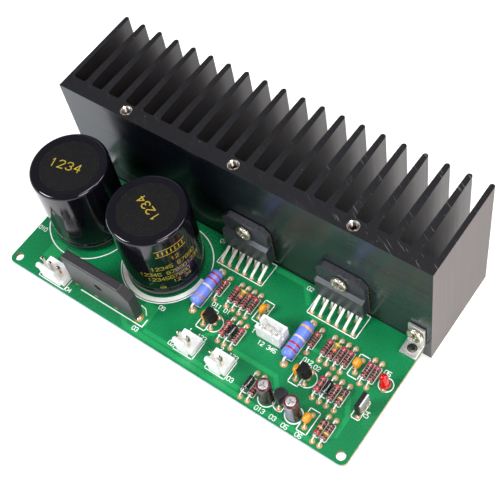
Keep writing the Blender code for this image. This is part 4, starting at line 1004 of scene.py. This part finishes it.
def make_pads():
    """Tinned pads round every lead, with a little solder on top and a full cone below."""
    pads = []
    solder = []
    under = -BOARD_THICKNESS
    for node in nodes:
        if abs(drawn_box(node)[0].z - LEAD_END) > 0.05:
            continue
        radius = pad_radius(node)
        top = [(0, 0.0), (radius * 0.56, 0.0), (radius * 0.46, 0.1), (radius * 0.34, 0.26), (0, 0.36)]
        cone = [
            (0, under), (radius * 0.86, under), (radius * 0.62, under - 0.2), (radius * 0.42, under - 0.6),
            (radius * 0.3, under - 1.1), (0, under - 1.2),
        ]
        shapes = [ring(0.3, radius, -0.02, 0.035), ring(0.3, radius, under - 0.035, under + 0.02)]
        domes = [turned(top, 16), turned(cone, 16)]
        for spot in lead_ends(node):
            place = at(spot.x, spot.y)
            pads += [moved(shape, place) for shape in shapes]
            solder += [moved(dome, place) for dome in domes]
    place_piece("pad_rings", [(joined(pads), PAD)], CORNER)
    place_piece("solder_joints", [(joined(solder), SOLDER)], CORNER)


# The heatsink and its fixings


def fin_outline():
    """The heatsink's section: a straight front, and fins behind that narrow to round tips."""
    left = -SINK_OVERHANG
    right = left + SINK_LENGTH
    pitch = (SINK_LENGTH - END_FIN) / (FIN_COUNT - 1)
    floor = SINK_FRONT + SINK_BASE
    tip = SINK_FRONT + SINK_DEPTH
    points = [(left, SINK_FRONT), (right, SINK_FRONT)]
    steps = 6
    for index in reversed(range(FIN_COUNT)):
        centre = left + END_FIN / 2 + index * pitch
        end = {FIN_COUNT - 1: 1, 0: -1}.get(index, 0)
        root = END_FIN / 2 if end else FIN_ROOT / 2
        half = END_FIN / 2 if end else FIN_TIP / 2
        for side in (1, -1):
            foot = []
            if end != side:
                for step in range(4):
                    turn = step / 3 * math.pi / 2
                    out = root + FIN_FILLET * (1 - math.sin(turn))
                    foot.append((centre + side * out, floor + FIN_FILLET * (1 - math.cos(turn))))
            round_tip = []
            for step in range(steps):
                turn = step / steps * math.pi / 2
                round_tip.append((centre + side * half * math.cos(turn), tip - half + half * math.sin(turn)))
            if side == 1:
                points += foot + round_tip + [(centre, tip)]
            else:
                points += round_tip[::-1] + foot[::-1]
    return points


def tapped_hole_places():
    middle = -SINK_OVERHANG + SINK_LENGTH / 2 + TAPPED_SHIFT
    return [(middle + step * TAPPED_PITCH, SINK_FRONT + SINK_BASE / 2) for step in (-1, 0, 1)]


def chip_centres():
    return [middle_of_leads(f"amplifier_chip_{number}").x for number in (1, 2)]


def make_heatsink():
    """The finned heatsink, bored for its screws, and the threads in its three tapped holes, in a darker copy
    of the rim's bare metal as painted shade.
    """
    blank = prism(fin_outline(), SINK_FOOT, SINK_TOP)
    radius = TAPPED_HOLE / 2
    mouth = radius + 0.45
    sunk = [
        (0, SINK_TOP - TAPPED_DEPTH), (radius, SINK_TOP - TAPPED_DEPTH), (radius, SINK_TOP - 0.55),
        (mouth, SINK_TOP - 0.05), (mouth, SINK_TOP + 2), (0, SINK_TOP + 2),
    ]
    tools = [moved(turned(sunk, 36), at(x, y)) for x, y in tapped_hole_places()]
    bores = [(x, CHIP_BOTTOM + CHIP_SCREW) for x in chip_centres()]
    bores += [(x, BRACKET_WALL_HOLE) for x in bracket_centres()]
    tools += [drill(SCREW_BORE, 5, (x, SINK_FRONT, z), sides=24) for x, z in bores]
    body = eased(carved(blank, [joined(tools)]), 0.14, 1, 50)

    def pick(face):
        centre = face.calc_center_median()
        if abs(face.normal.z) > 0.9:
            return "cut"
        if face.normal.y < -0.9 and centre.y < SINK_FRONT + 0.1:
            return "front"
        if abs(centre.x - SINK_LENGTH / 2 + SINK_OVERHANG) > SINK_LENGTH / 2 - 0.2:
            return "end"
        if centre.z > SINK_TOP - 1 and any(math.dist(centre.xy, hole) < 2.2 for hole in tapped_hole_places()):
            return "rim"
        return "fins"

    shares = shared_out(body, pick)
    # The ends take the lighter copy of the anodising: painted light.
    finishes = {"cut": CUT_FACE, "front": SINK_FACE, "fins": FIN_SIDE, "end": END_FACE_PAINTED_LIGHT, "rim": HOLE_RIM}
    parts = [(shares[key], finish) for key, finish in finishes.items()]
    place_piece("finned_heatsink", parts, CORNER, "heatsink")
    depth = 6.0
    pitch = 0.5
    crest = radius - 0.02
    profile = [(0, SINK_TOP - depth)]
    for step in range(int(depth / pitch)):
        level = SINK_TOP - depth + step * pitch
        profile += [(crest, level), (crest - 0.24, level + pitch / 2)]
    profile.append((crest, SINK_TOP - 0.6))
    thread = turned(profile, 32)
    threads = [moved(thread, at(x, y)) for x, y in tapped_hole_places()]
    place_piece("tapped_threads", [(joined(threads), SHADED_THREAD)], CORNER)


def crossed(side, half):
    """A cross of two arms, from the (reach, height) points of an arm's side and half its width."""
    outline = side + [(-reach, height) for reach, height in reversed(side)]
    arm = prism(outline, -half, half, "Y")
    return carved(arm, [moved(arm, turning(90))], "UNION")


def make_screw_mesh(length):
    """A pan head screw along +Z with a cross recess and a ridged shank, its seat at the origin."""
    rise = HEAD_RISE
    head = HEAD / 2 + HEAD_GROWTH
    profile = [(0, -length), (SHANK * 0.36, -length), (SHANK / 2, -length + 0.6)]
    level = -length + 0.8
    while level < -0.4:
        profile += [(SHANK / 2, level), (SHANK / 2 - 0.2, level + 0.25)]
        level += 0.5
    profile += [
        (SHANK / 2, 0), (head * 0.97, 0), (head, 0.15), (head, rise * 0.5), (head * 0.97, rise * 0.68),
        (head * 0.9, rise * 0.82), (head * 0.78, rise * 0.92), (head * 0.5, rise * 0.985), (0, rise),
    ]
    cross = crossed([(2.4, rise + 1), (2.15, rise - 0.15), (0.9, -0.1)], 0.5)
    return eased(carved(turned(profile, 40), [cross]), 0.06, 1, 50)


def make_screws():
    """The chips' and the brackets' screws, those of the brackets' feet from below the board."""
    # A dark cross set just inside each cross recess: painted shade in the recess.
    shade = (crossed([(1.35, 0.5), (0.88, -0.11)], 0.48), RECESS_SHADE)
    long_screw = [(make_screw_mesh(7.6), NICKEL), shade]
    # A thin dark disc on the short screw's tip: painted shade where it shows in the bracket foot's hole.
    short_screw = [(make_screw_mesh(2.8), NICKEL), (rod(SHANK * 0.76, -2.83, -2.79), SCREW_TIP_SHADE), shade]
    screws = []
    for side in ("left", "right"):
        screws.append((f"wall_screw_{side}", f"bracket_wall_screw_{side}", long_screw, 0))
        screws.append((f"board_screw_{side}", f"bracket_board_screw_{side}", short_screw, 0))
    for number, spin in ((1, 0.2), (2, -0.13)):
        screws.append((f"pan_head_screw_{number}", f"chip_screw_{number}", long_screw, spin))
    for name, node, shapes, spin in screws:
        low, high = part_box(node)
        seat = (low + high) / 2
        upwards = shapes is short_screw
        facing = 2 if upwards else 1
        seat[facing] = low[facing] + HEAD_HEIGHT / 1000
        parts = [(moved(mesh, Matrix.Rotation(spin, 4, "Z")), finish) for mesh, finish in shapes]
        place_piece(name, parts, seat, node, (math.pi if upwards else math.pi / 2, 0, 0))


def make_brackets():
    """Folded sheet angles with a tapped foot."""
    half = BRACKET_SHEET / 2
    for side in ("left", "right"):
        node = f"bracket_{side}"
        low, high = drawn_box(node)
        back = high.y - half
        path = softened([(low.y, SEAT + half), (back, SEAT + half), (back, high.z)], 1.0, 5)
        reach = (high.x - low.x) / 2
        angle = prism(ribbon(path, BRACKET_SHEET), -reach, reach, "X")
        wall = drill(SCREW_BORE, 3, (0, high.y, BRACKET_WALL_HOLE))
        foot = drill(SCREW_BORE, 3, (0, low.y + BRACKET_FOOT_HOLE, 1), "Z")
        angle = eased(carved(angle, [joined([wall, foot])]), 0.2, 2, 50)
        parts = [(angle, BRACKET_STEEL)]
        place_piece(node + "_sheet", parts, on_board((low.x + high.x) / 2, 0), node)


# The power parts


def make_chips():
    """Moulded power chips with formed leads in two rows."""
    half = CHIP_WIDTH / 2
    top = CHIP_BOTTOM + CHIP_HEIGHT
    step = CHIP_BOTTOM + CHIP_STEP
    side = [
        (0, CHIP_BOTTOM), (0, top), (-CHIP_TAB, top), (-CHIP_TAB, step + 0.4), (-CHIP_THICKNESS, step - 0.4),
        (-CHIP_THICKNESS, CHIP_BOTTOM),
    ]
    corner = 2.4
    face = [
        (-half, CHIP_BOTTOM), (half, CHIP_BOTTOM), (half, top - corner), (half - corner, top),
        (corner - half, top), (-half, top - corner),
    ]
    body = carved(prism(side, -half, half, "X"), [prism(face, -10, 10, "Y")], "INTERSECT")
    tools = [drill(SCREW_BORE, 10, (0, 0, CHIP_BOTTOM + CHIP_SCREW))]
    tools += [drill(1.2, 10, (sign * half, 0, step + 1.2), sides=16) for sign in (1, -1)]
    body = carved(body, [joined(tools)])
    dimple = rod(0.9, -CHIP_TAB - 1, -CHIP_TAB + 0.9, "Y", 20)
    body = carved(body, [joined([moved(dimple, at(sign * 7.7, 0, 15.7)) for sign in (1, -1)])])
    behind = block((-half * 2, half * 2), (-0.5, 9), (-9, top - corner - 0.2))
    plate = eased(carved(body, [behind], "INTERSECT"), 0.1, 1, 40)
    body = eased(carved(body, [behind]), 0.22, 2, 40)

    def pick(face):
        return "upper" if face.normal.z > 0.9 and face.calc_center_median().z > top - 0.3 else "rest"

    shares = shared_out(body, pick)
    root = -3.2
    for number in (1, 2):
        node = f"amplifier_chip_{number}"
        centre = middle_of_leads(node).x
        back = drawn_box(node)[1].y
        leads = []
        for end in lead_ends(node):
            row = end.y - back
            path = [(root, CHIP_BOTTOM + 1.0), (root, CHIP_BOTTOM - 0.5), (row, 0.9), (row, LEAD_END)]
            shoulder = [(root, CHIP_BOTTOM + 1.0), (root, CHIP_BOTTOM - 0.45)]
            leads.append(strip_lead(path, 1.0, 0.5, end.x - centre))
            leads.append(strip_lead(shoulder, 1.3, 0.52, end.x - centre))
        parts = [
            (shares["rest"], CHIP), (shares["upper"], CHIP_TOP), (plate, BACK_PLATE), (joined(leads), TINNED),
        ]
        place_piece(f"power_chip_{number}", parts, on_board(centre, back), node)


def make_filter_capacitors():
    """Large cans in glossy shrink sleeve, with a rolled rim, a crimp and a loose disc in the top."""
    radius = CAN / 2
    top = SEAT + CAN_HEIGHT
    crimp = SEAT + 5.0
    mouth = radius - CAN_RIM
    bend = 1.3
    lip = mouth - 1.3
    profile = [
        (0, SEAT), (radius - 1.6, SEAT), (radius - 0.9, SEAT + 0.3), (radius - 0.35, SEAT + 1.0),
        (radius - 0.08, SEAT + 2.0), (radius, SEAT + 3.0), (radius, crimp - 1.0),
    ]
    for step in range(9):
        turn = step / 8 * math.tau
        profile.append((radius - 0.14 * (1 - math.cos(turn)), crimp - 0.8 + step / 8 * 1.6))
    profile.append((radius, crimp + 1.0))
    for step in range(9):
        turn = step / 8 * math.pi / 2
        profile.append((radius - bend * (1 - math.cos(turn)), top - bend + bend * math.sin(turn)))
    profile += [
        (mouth + 0.35, top - 0.02), (mouth, top - 0.07), (mouth - 0.5, top - 0.16), (mouth - 0.9, top - 0.26),
        (lip, top - 0.3), (lip, top - 0.34), (mouth, top - 0.36), (mouth, top - CAN_RIM_DEPTH),
        (0, top - CAN_RIM_DEPTH),
    ]
    can = turned(profile, 96)
    level = top - CAN_RIM_DEPTH + SEAT
    reach = mouth - SEAT
    face = level + 0.22
    lid = turned([(0, level), (reach, level), (reach, level + 0.14), (reach - 0.12, face), (0, face)], 96)
    tabs = []
    for middle in (5, -5):
        tabs.append(eased(block((middle - 0.8, middle + 0.8), (-0.4, 0.4), (LEAD_END, SEAT)), 0.1, 1))
    for number, (x, y, height, turn) in enumerate(((-1.3, -0.4, 3.3, 13), (-0.1, 0.6, 3.0, 159.5)), 1):
        node = f"filter_capacitor_{number}"
        place = on_board(*middle_of_leads(node))
        stand(f"sleeved_can_{number}", [(can, SLEEVE), (joined(tabs), TINNED)], node)
        disc = f"capacitor_top_disc_{number}"
        place_piece(f"insulating_disc_{number}", [(lid, DISC)], place, disc)
        mark = moved(figures("1234", height, 0.42, 2.1), at(x, y, level + 0.225) @ turning(turn))
        place_piece(f"disc_number_{number}", [(mark, PRINT_GOLD)], place)
    place_piece("sleeve_marks", [(make_sleeve_marks(radius + 0.03), PRINT_GOLD)], place)


def wrapped(mesh, radius, turn, level):
    """Flat print rolled on a round body, about an angle in degrees and a height."""
    copy = mesh.copy()
    for vertex in copy.vertices:
        angle = math.radians(turn) + vertex.co.x / radius
        away = radius + vertex.co.z
        vertex.co = (away * math.cos(angle), away * math.sin(angle), level + vertex.co.y)
    return copy


def make_sleeve_marks(radius):
    """Plain gold figures in rows on the sleeve, under a few simple bars, where a can carries its print."""
    rows = [
        ("12", 2.1, -22, 23.4), ("12345 67890", 2.1, -25, 19.3), ("12345 678901234", 2.1, -31, 15.7),
        ("1234567890", 2.1, -38, 12.5), ("12 34", 1.9, -21, 9.6), ("123", 1.0, -52, 7.0),
    ]
    marks = []
    for row, height, turn, level in rows:
        marks.append(wrapped(figures(row, height * 0.92, 0.21), radius, turn, level))
    bars = [flat_line([(x, -1.0), (x, 1.0)], 0.45, -0.03, 0) for x in (-4.8, -3.2, -1.6, 0.0, 1.6, 3.2, 4.8)]
    bars += [flat_line([(x, y) for x in range(-6, 7)], 0.34, -0.03, 0) for y in (-1.7, 1.7)]
    return joined(marks + [wrapped(bar, radius, -24, 28.2) for bar in bars])


def make_bridge():
    """A flat moulded bridge on edge, with one clipped corner and a hole through its middle."""
    half = BRIDGE_WIDTH / 2
    top = BRIDGE_BOTTOM + BRIDGE_HEIGHT
    thick = BRIDGE_THICKNESS / 2
    edge = 0.5
    face = [
        (-half, BRIDGE_BOTTOM), (half, BRIDGE_BOTTOM), (half, top - BRIDGE_CORNER),
        (half - BRIDGE_CORNER, top), (-half, top),
    ]
    side = [
        (-thick, BRIDGE_BOTTOM), (thick, BRIDGE_BOTTOM), (thick, top - edge), (thick - edge, top),
        (edge - thick, top), (-thick, top - edge),
    ]
    body = carved(prism(side, -half, half, "X"), [prism(face, -8, 8, "Y")], "INTERSECT")
    body = eased(carved(body, [drill(BRIDGE_HOLE, 8, (0, 0, BRIDGE_HOLE_LEVEL), sides=40)]), 0.25, 2, 35)
    x = middle_of_leads("bridge_rectifier").x
    leads = []
    for end in lead_ends("bridge_rectifier"):
        wide = (end.x - x - 0.6, end.x - x + 0.6)
        leads.append(eased(block(wide, (-0.4, 0.4), (LEAD_END, BRIDGE_BOTTOM + 0.5)), 0.08, 1))
    stand("bridge_block", [(body, BRIDGE), (joined(leads), TINNED)], "bridge_rectifier")


# Wired parts


def make_axial(half_profile, sides, height, reach, pitch, diameter=WIRE):
    """A turned body that lies along Y about its own middle, and its two bent leads.

    The body's half is given as (radius, distance from the middle) points from its end inwards.
    """
    profile = [(radius, -away) for radius, away in half_profile]
    profile += [(radius, away) for radius, away in reversed(half_profile)]
    wires = []
    for sign in (1, -1):
        path = [(0, sign * reach, height), (0, sign * pitch / 2, height), (0, sign * pitch / 2, LEAD_END)]
        wires.append(wire(path, diameter, diameter * 1.8))
    return moved(turned(profile, sides), turning(90, "X")), (moved(joined(wires), at(0, 0, -height)), TINNED)


def make_axial_parts():
    """Resistors and diodes: their middles are at the body's own height, so the bands follow its axis."""
    bone = [
        (0, 3.1), (0.42, 3.1), (0.75, 3.04), (0.98, 2.88), (1.1, 2.62), (1.15, 2.28), (1.13, 1.92),
        (1.06, 1.6), (0.99, 1.35), (0.975, 1.0),
    ]
    height = SEAT + 1.15
    body, leads = make_axial(bone, 28, height, 3.0, AXIAL_PITCH)
    for number in range(1, 21):
        lacquer = SMALL_LACQUERS["lacquer_" + LACQUER_OF.get(number, "red_top")]
        name = f"small_resistor_{number:02d}"
        stand(name, [(body, lacquer), leads], f"resistor_{number:02d}", height)
    barrel = [(0, 2.6), (0.98, 2.6), (1.1, 2.55), (1.15, 2.45), (1.15, 1.0)]
    height = SEAT + 1.25
    body, leads = make_axial(barrel, 32, height, 2.5, AXIAL_PITCH)
    for number in (1, 2, 3):
        stand(f"black_diode_{number}", [(body, DIODE), leads], f"diode_{number}", height)
    bone = [
        (0, 7.6), (0.8, 7.6), (1.4, 7.5), (1.95, 7.2), (2.3, 6.7), (2.43, 6.1), (2.45, 5.5), (2.42, 4.8),
        (2.38, 4.1), (2.37, 3.0),
    ]
    height = SEAT + 2.45
    body, leads = make_axial(bone, 40, height, 7.4, POWER_PITCH, 0.8)
    for number, lacquer in enumerate(POWER_LACQUERS, 1):
        name = f"blue_resistor_{number}"
        stand(name, [(body, lacquer), leads], f"power_resistor_{number}", height)


def make_ceramics():
    """Dipped pillows whose coating runs a little way down the leads."""
    bm = bmesh.new()
    bmesh.ops.create_uvsphere(bm, u_segments=32, v_segments=20, radius=1.0)
    for vertex in bm.verts:
        flat = [math.copysign(abs(share) ** 0.82, share) for share in vertex.co]
        vertex.co = (flat[0] * 1.3, flat[1] * 1.85, flat[2] * 1.85)
    coating = [moved(closed(bm), at(0, 0, 2.75))]
    collar = turned([(0, 0.0), (0.36, 0.0), (0.55, 0.7), (0.75, 1.2), (0, 1.3)], 16)
    wires = []
    for sign in (1, -1):
        path = [(0, sign * 1.0, 2.0), (0, sign * 2.54, 0.9), (0, sign * 2.54, LEAD_END)]
        wires.append(wire(path, WIRE, 0.9))
        coating.append(moved(collar, at(0, sign * 1.95, 1.25) @ Matrix.Rotation(sign * 0.8, 4, "X")))
    for number, lean in enumerate((-6, -20, 8, -15, -9), 1):
        parts = [(moved(joined(coating), leaning(lean, 0.9)), CERAMIC), (joined(wires), TINNED)]
        stand(f"orange_capacitor_{number}", parts, f"ceramic_capacitor_{number}")


def make_transistors():
    """Round-backed mouldings with a flat face and three spread leads."""
    square = [
        (-1.6, -2.15), (0.7, -2.15), (1.5, -1.55), (1.9, -0.7), (1.9, 0.7), (1.5, 1.55), (0.7, 2.15),
        (-1.6, 2.15),
    ]
    round_back = [(-1.4, -2.1), *arc(0, 0, 2.3, -98, 98, 28), (-1.4, 2.1)]
    wires = []
    for y in (-2.6, 0.0, 2.6):
        wires.append(strip_lead([(y / 2, 3.4), (y / 2, 2.1), (y, 1.05), (y, LEAD_END)], 0.5, 0.45))
    kinds = [(square, SMALL_MOULD, 0, -12), (square, SMALL_MOULD, 0, -12), (round_back, GREY_MOULD, 160, 0)]
    for number, (outline, finish, turn, lean) in enumerate(kinds, 1):
        body = eased(prism(outline, 2.6, 7.4), 0.2, 2, 20)
        parts = [(moved(body, leaning(lean, 1.0) @ turning(turn)), finish), (joined(wires), TINNED)]
        stand(f"small_transistor_{number}", parts, f"transistor_{number}")


def make_tab_transistor():
    """A flat moulding on a bare metal tab with a hole, with a painted highlight along the tab's top edge."""
    x = drawn_box("tab_transistor")[1].x - 0.6
    y = middle_of_leads("tab_transistor").y
    body = eased(block((-1.7, 0), (-3.1, 3.1), (2.2, 8.9)), 0.2, 2)
    hole = moved(rod(1.6, -3, 3, sides=20), turning(90, "Y") @ at(-8.0, 3.0))
    tab = eased(carved(block((0.0, 0.6), (-2.65, 2.65), (4.4, 9.3)), [hole]), 0.06, 1)
    # A thin pale strip on the tab's top edge: painted highlight.
    edge = block((0.04, 0.56), (-2.6, 2.6), (9.25, 9.31))
    leads = [strip_lead([(y_lead, 3.0), (y_lead, LEAD_END)], 0.55, 0.5, -0.85) for y_lead in (-2.6, 0.0, 2.6)]
    parts = [(body, SMALL_MOULD), (tab, TAB_METAL), (edge, TAB_EDGE_HIGHLIGHT), (joined(leads), TINNED)]
    place_piece("tabbed_transistor", parts, on_board(x, y), "tab_transistor")


def make_small_capacitors():
    """Small cans in sleeve, with a rolled foot and vent marks in the bare top, dark bars at the vents' floors
    as painted shade.
    """
    radius = 2.65
    top = SEAT + 10.9
    sleeve = [
        (0, SEAT), (radius - 0.5, SEAT), (radius - 0.1, SEAT + 0.2), (radius, SEAT + 0.5),
        (radius, SEAT + 1.3), (radius - 0.18, SEAT + 1.6), (radius - 0.18, SEAT + 1.8),
        (radius, SEAT + 2.1), (radius, top - 0.6), (0, top - 0.6),
    ]
    rim = [
        (0, top - 0.62), (radius, top - 0.6), (radius - 0.05, top - 0.32), (radius - 0.2, top - 0.1),
        (radius - 0.42, top), (radius - 0.68, top - 0.03), (radius - 0.84, top - 0.14),
        (radius - 0.88, top - 0.3), (0, top - 0.3),
    ]
    cap = [(0, top - 0.4), (1.77, top - 0.4), (1.77, top - 0.22), (1.6, top - 0.1), (0, top - 0.06)]
    slot = block((0.12, 1.35), (-0.19, 0.19), (top - 0.28, top + 1))
    # Dark bars just under the vent slots' floors: painted shade in the vents.
    painted_vent_shade = block((0.15, 1.3), (-0.13, 0.13), (top - 0.45, top - 0.24))
    turns = [turning(degrees) for degrees in (20, 140, 260)]
    cap = eased(carved(turned(cap, 40), [moved(slot, turn) for turn in turns]), 0.06, 1, 40)
    painted_vent_shades = joined([moved(painted_vent_shade, turn) for turn in turns])
    bodies = [
        (turned(sleeve, 48), SMALL_SLEEVE), (turned(rim, 48), SLEEVE_RIM), (cap, CAN_TOP), (painted_vent_shades, SHEARED_END_AND_VENT_SHADE),
    ]
    for number, turn in ((1, 3.6), (2, 0.0)):
        wires = moved(joined(straight_pair(1.25, 0.8)), Matrix.Rotation(-turn, 4, "Z"))
        parts = [*bodies, (wires, TINNED)]
        stand(f"small_can_{number}", parts, f"small_capacitor_{number}", turn=turn)


def make_lamp():
    """A red lamp leaning a little on its two wires."""
    radius = 1.55
    dome = 5.2 - radius
    profile = [
        (0, 0), (1.75, 0), (1.93, 0.12), (1.95, 0.7), (1.86, 0.88), (radius + 0.06, 0.92), (radius, 1.0),
        (radius, dome),
    ]
    for step in range(1, 9):
        turn = step / 8 * math.pi / 2
        profile.append((radius * math.cos(turn), dome + radius * math.sin(turn)))
    lens = moved(turned(profile, 40), at(0, 0, 1.6) @ turning(-12, "Y") @ turning(-8, "X"))
    parts = [(lens, RED_LENS), (joined(straight_pair(1.27, 2.2, 0.5)), TINNED)]
    stand("red_lamp", parts, "indicator_lamp")


# Connectors


def pin(size, high, x):
    """A square pin from the leads' end up, narrower at both ends, with its tip chamfered."""
    low = LEAD_END
    half = size / 2
    taper = 0.55
    bm = opened(block((x - half, x + half), (-half, half), (low, high)))
    for vertex in bm.verts:
        vertex.co.x = x + (vertex.co.x - x) * taper
        vertex.co.y *= taper
    every = bm.verts[:] + bm.edges[:] + bm.faces[:]
    bmesh.ops.bisect_plane(bm, geom=every, plane_co=(0, 0, high - 0.6), plane_no=(0, 0, 1))
    for vertex in bm.verts:
        if low + 0.01 < vertex.co.z < high - 0.01:
            vertex.co.x = x + math.copysign(half, vertex.co.x - x)
            vertex.co.y = math.copysign(half, vertex.co.y)
    return eased(closed(bm), 0.05, 1, 20)


def make_power_connectors():
    """Bases with a friction wall in front, measured from the middle of the row of sheared square pins."""
    top = SEAT + 9.0
    wall = [
        (-3.0, SEAT), (-1.6, SEAT), (-1.6, top - 0.7), (-2.3, top), (-3.0, top), (-3.7, top - 1.1),
        (-3.0, top - 2.2),
    ]
    sheared = POWER_PIN * 0.25
    for node, count in (("supply_connector", 3), ("output_connector_1", 2), ("output_connector_2", 2)):
        span = (count - 1) * POWER_PIN_PITCH
        half = span / 2 + 2.0
        reach = span / 2 + 0.4
        base = block((-half, half), (-2.3, 4.4), (SEAT, SEAT + 2.8))
        housing = eased(carved(base, [prism(wall, -reach, reach, "X")], "UNION"), 0.12, 2, 30)
        pins = []
        ends = []
        for step in range(count):
            x = step * POWER_PIN_PITCH - span / 2
            pins.append(pin(POWER_PIN, PIN_TOP, x))
            cut = (PIN_TOP - 0.1, PIN_TOP + 0.01)
            ends.append(block((x - sheared, x + sheared), (-sheared, sheared), cut))
        parts = [(housing, NYLON), (joined(pins), GOLDEN_PIN), (joined(ends), SHEARED_END_AND_VENT_SHADE)]
        stand(node + "_block", parts, node)


def make_input_connector():
    """An open-topped shroud round three pins, slotted in front and notched at both ends."""
    half = 5.05
    front = -2.35
    back = front + 5.75
    top = SEAT + 6.9
    wall = 0.85
    slot = (3.4, top * 2)
    shell = block((-half, half), (front, back), (SEAT, top))
    tools = [
        block((wall - half, half - wall), (front + wall, back - wall), (SEAT + 1.5, top * 2)),
        block((-half * 2, half * 2), (-0.55, 0.55), slot),
    ]
    for x in (2.1, -2.1):
        tools.append(block((x - 0.4, x + 0.4), (front * 2, front + wall * 1.5), slot))
    for tool in tools:
        shell = carved(shell, [tool])
    pins = [pin(0.64, 6.0, step * INPUT_PITCH) for step in (-1, 0, 1)]
    parts = [(eased(shell, 0.12, 2, 30), NYLON), (joined(pins), GOLDEN_PIN)]
    stand("input_connector_shroud", parts, "input_connector")


# Setting


def make_floor():
    """A pale floor that keeps the object's shadow, and shows white to the camera and in reflections."""
    bm = bmesh.new()
    bmesh.ops.create_grid(bm, x_segments=1, y_segments=1, size=6.0)
    floor = bpy.data.objects.new("floor", closed(bm, False))
    scene.collection.objects.link(floor)
    material, tree = new_material("pale_floor", Roughness=0.9, Specular_IOR_Level=0.1)
    rays = add_node(tree, "LightPath", {})
    shown = worked(tree, "MAXIMUM", rays["Is Camera Ray"], rays["Is Glossy Ray"])
    shown = worked(tree, "MAXIMUM", shown, rays["Is Transmission Ray"])
    looks = {
        "Base Color": mottled(tree, seen(246, 246, 246), 400.0, 0.01),
        "Emission Color": WHITE,
        "Emission Strength": worked(tree, "MULTIPLY", shown, 0.42),
    }
    connect(tree, tree.nodes["Principled BSDF"], looks)
    floor.data.materials.append(material)


def add_lamp(name, place, size, power, colour=(1.0, 1.0, 1.0)):
    """A soft square lamp that faces the object."""
    data = bpy.data.lights.new(name, "AREA")
    data.shape = "RECTANGLE"
    data.size, data.size_y = size
    data.energy = power
    data.color = colour
    lamp = bpy.data.objects.new(name, data)
    lamp.location = place
    lamp.rotation_euler = (Vector((0, 0, 0.02)) - Vector(place)).to_track_quat("-Z", "Y").to_euler()
    scene.collection.objects.link(lamp)


def make_light():
    """A dim world and four soft lamps."""
    world = bpy.data.worlds.new("studio")
    scene.world = world
    world.use_nodes = True
    sky = {"Color": (0.93, 0.96, 1.0, 1), "Strength": 0.22}
    connect(world.node_tree, world.node_tree.nodes["Background"], sky)
    add_lamp("key", (-1.5, -1.7, 1.9), (1.1, 0.8), 70.0, (0.93, 0.97, 1.0))
    add_lamp("fill", (2.0, -1.0, 1.5), (1.0, 1.0), 36.0, (1.0, 0.94, 0.88))
    add_lamp("top", (0.5, 0.2, 2.6), (0.9, 0.9), 24.0)
    add_lamp("glint", (1.6, 1.08, 2.3), (1.3, 0.3), 22.0)


scene.view_settings.view_transform = "Standard"

make_board()
make_tracks()
make_print()
make_pads()
make_heatsink()
make_brackets()
make_screws()
make_chips()
make_filter_capacitors()
make_bridge()
make_axial_parts()
make_ceramics()
make_transistors()
make_tab_transistor()
make_small_capacitors()
make_lamp()
make_power_connectors()
make_input_connector()
make_floor()
make_light()
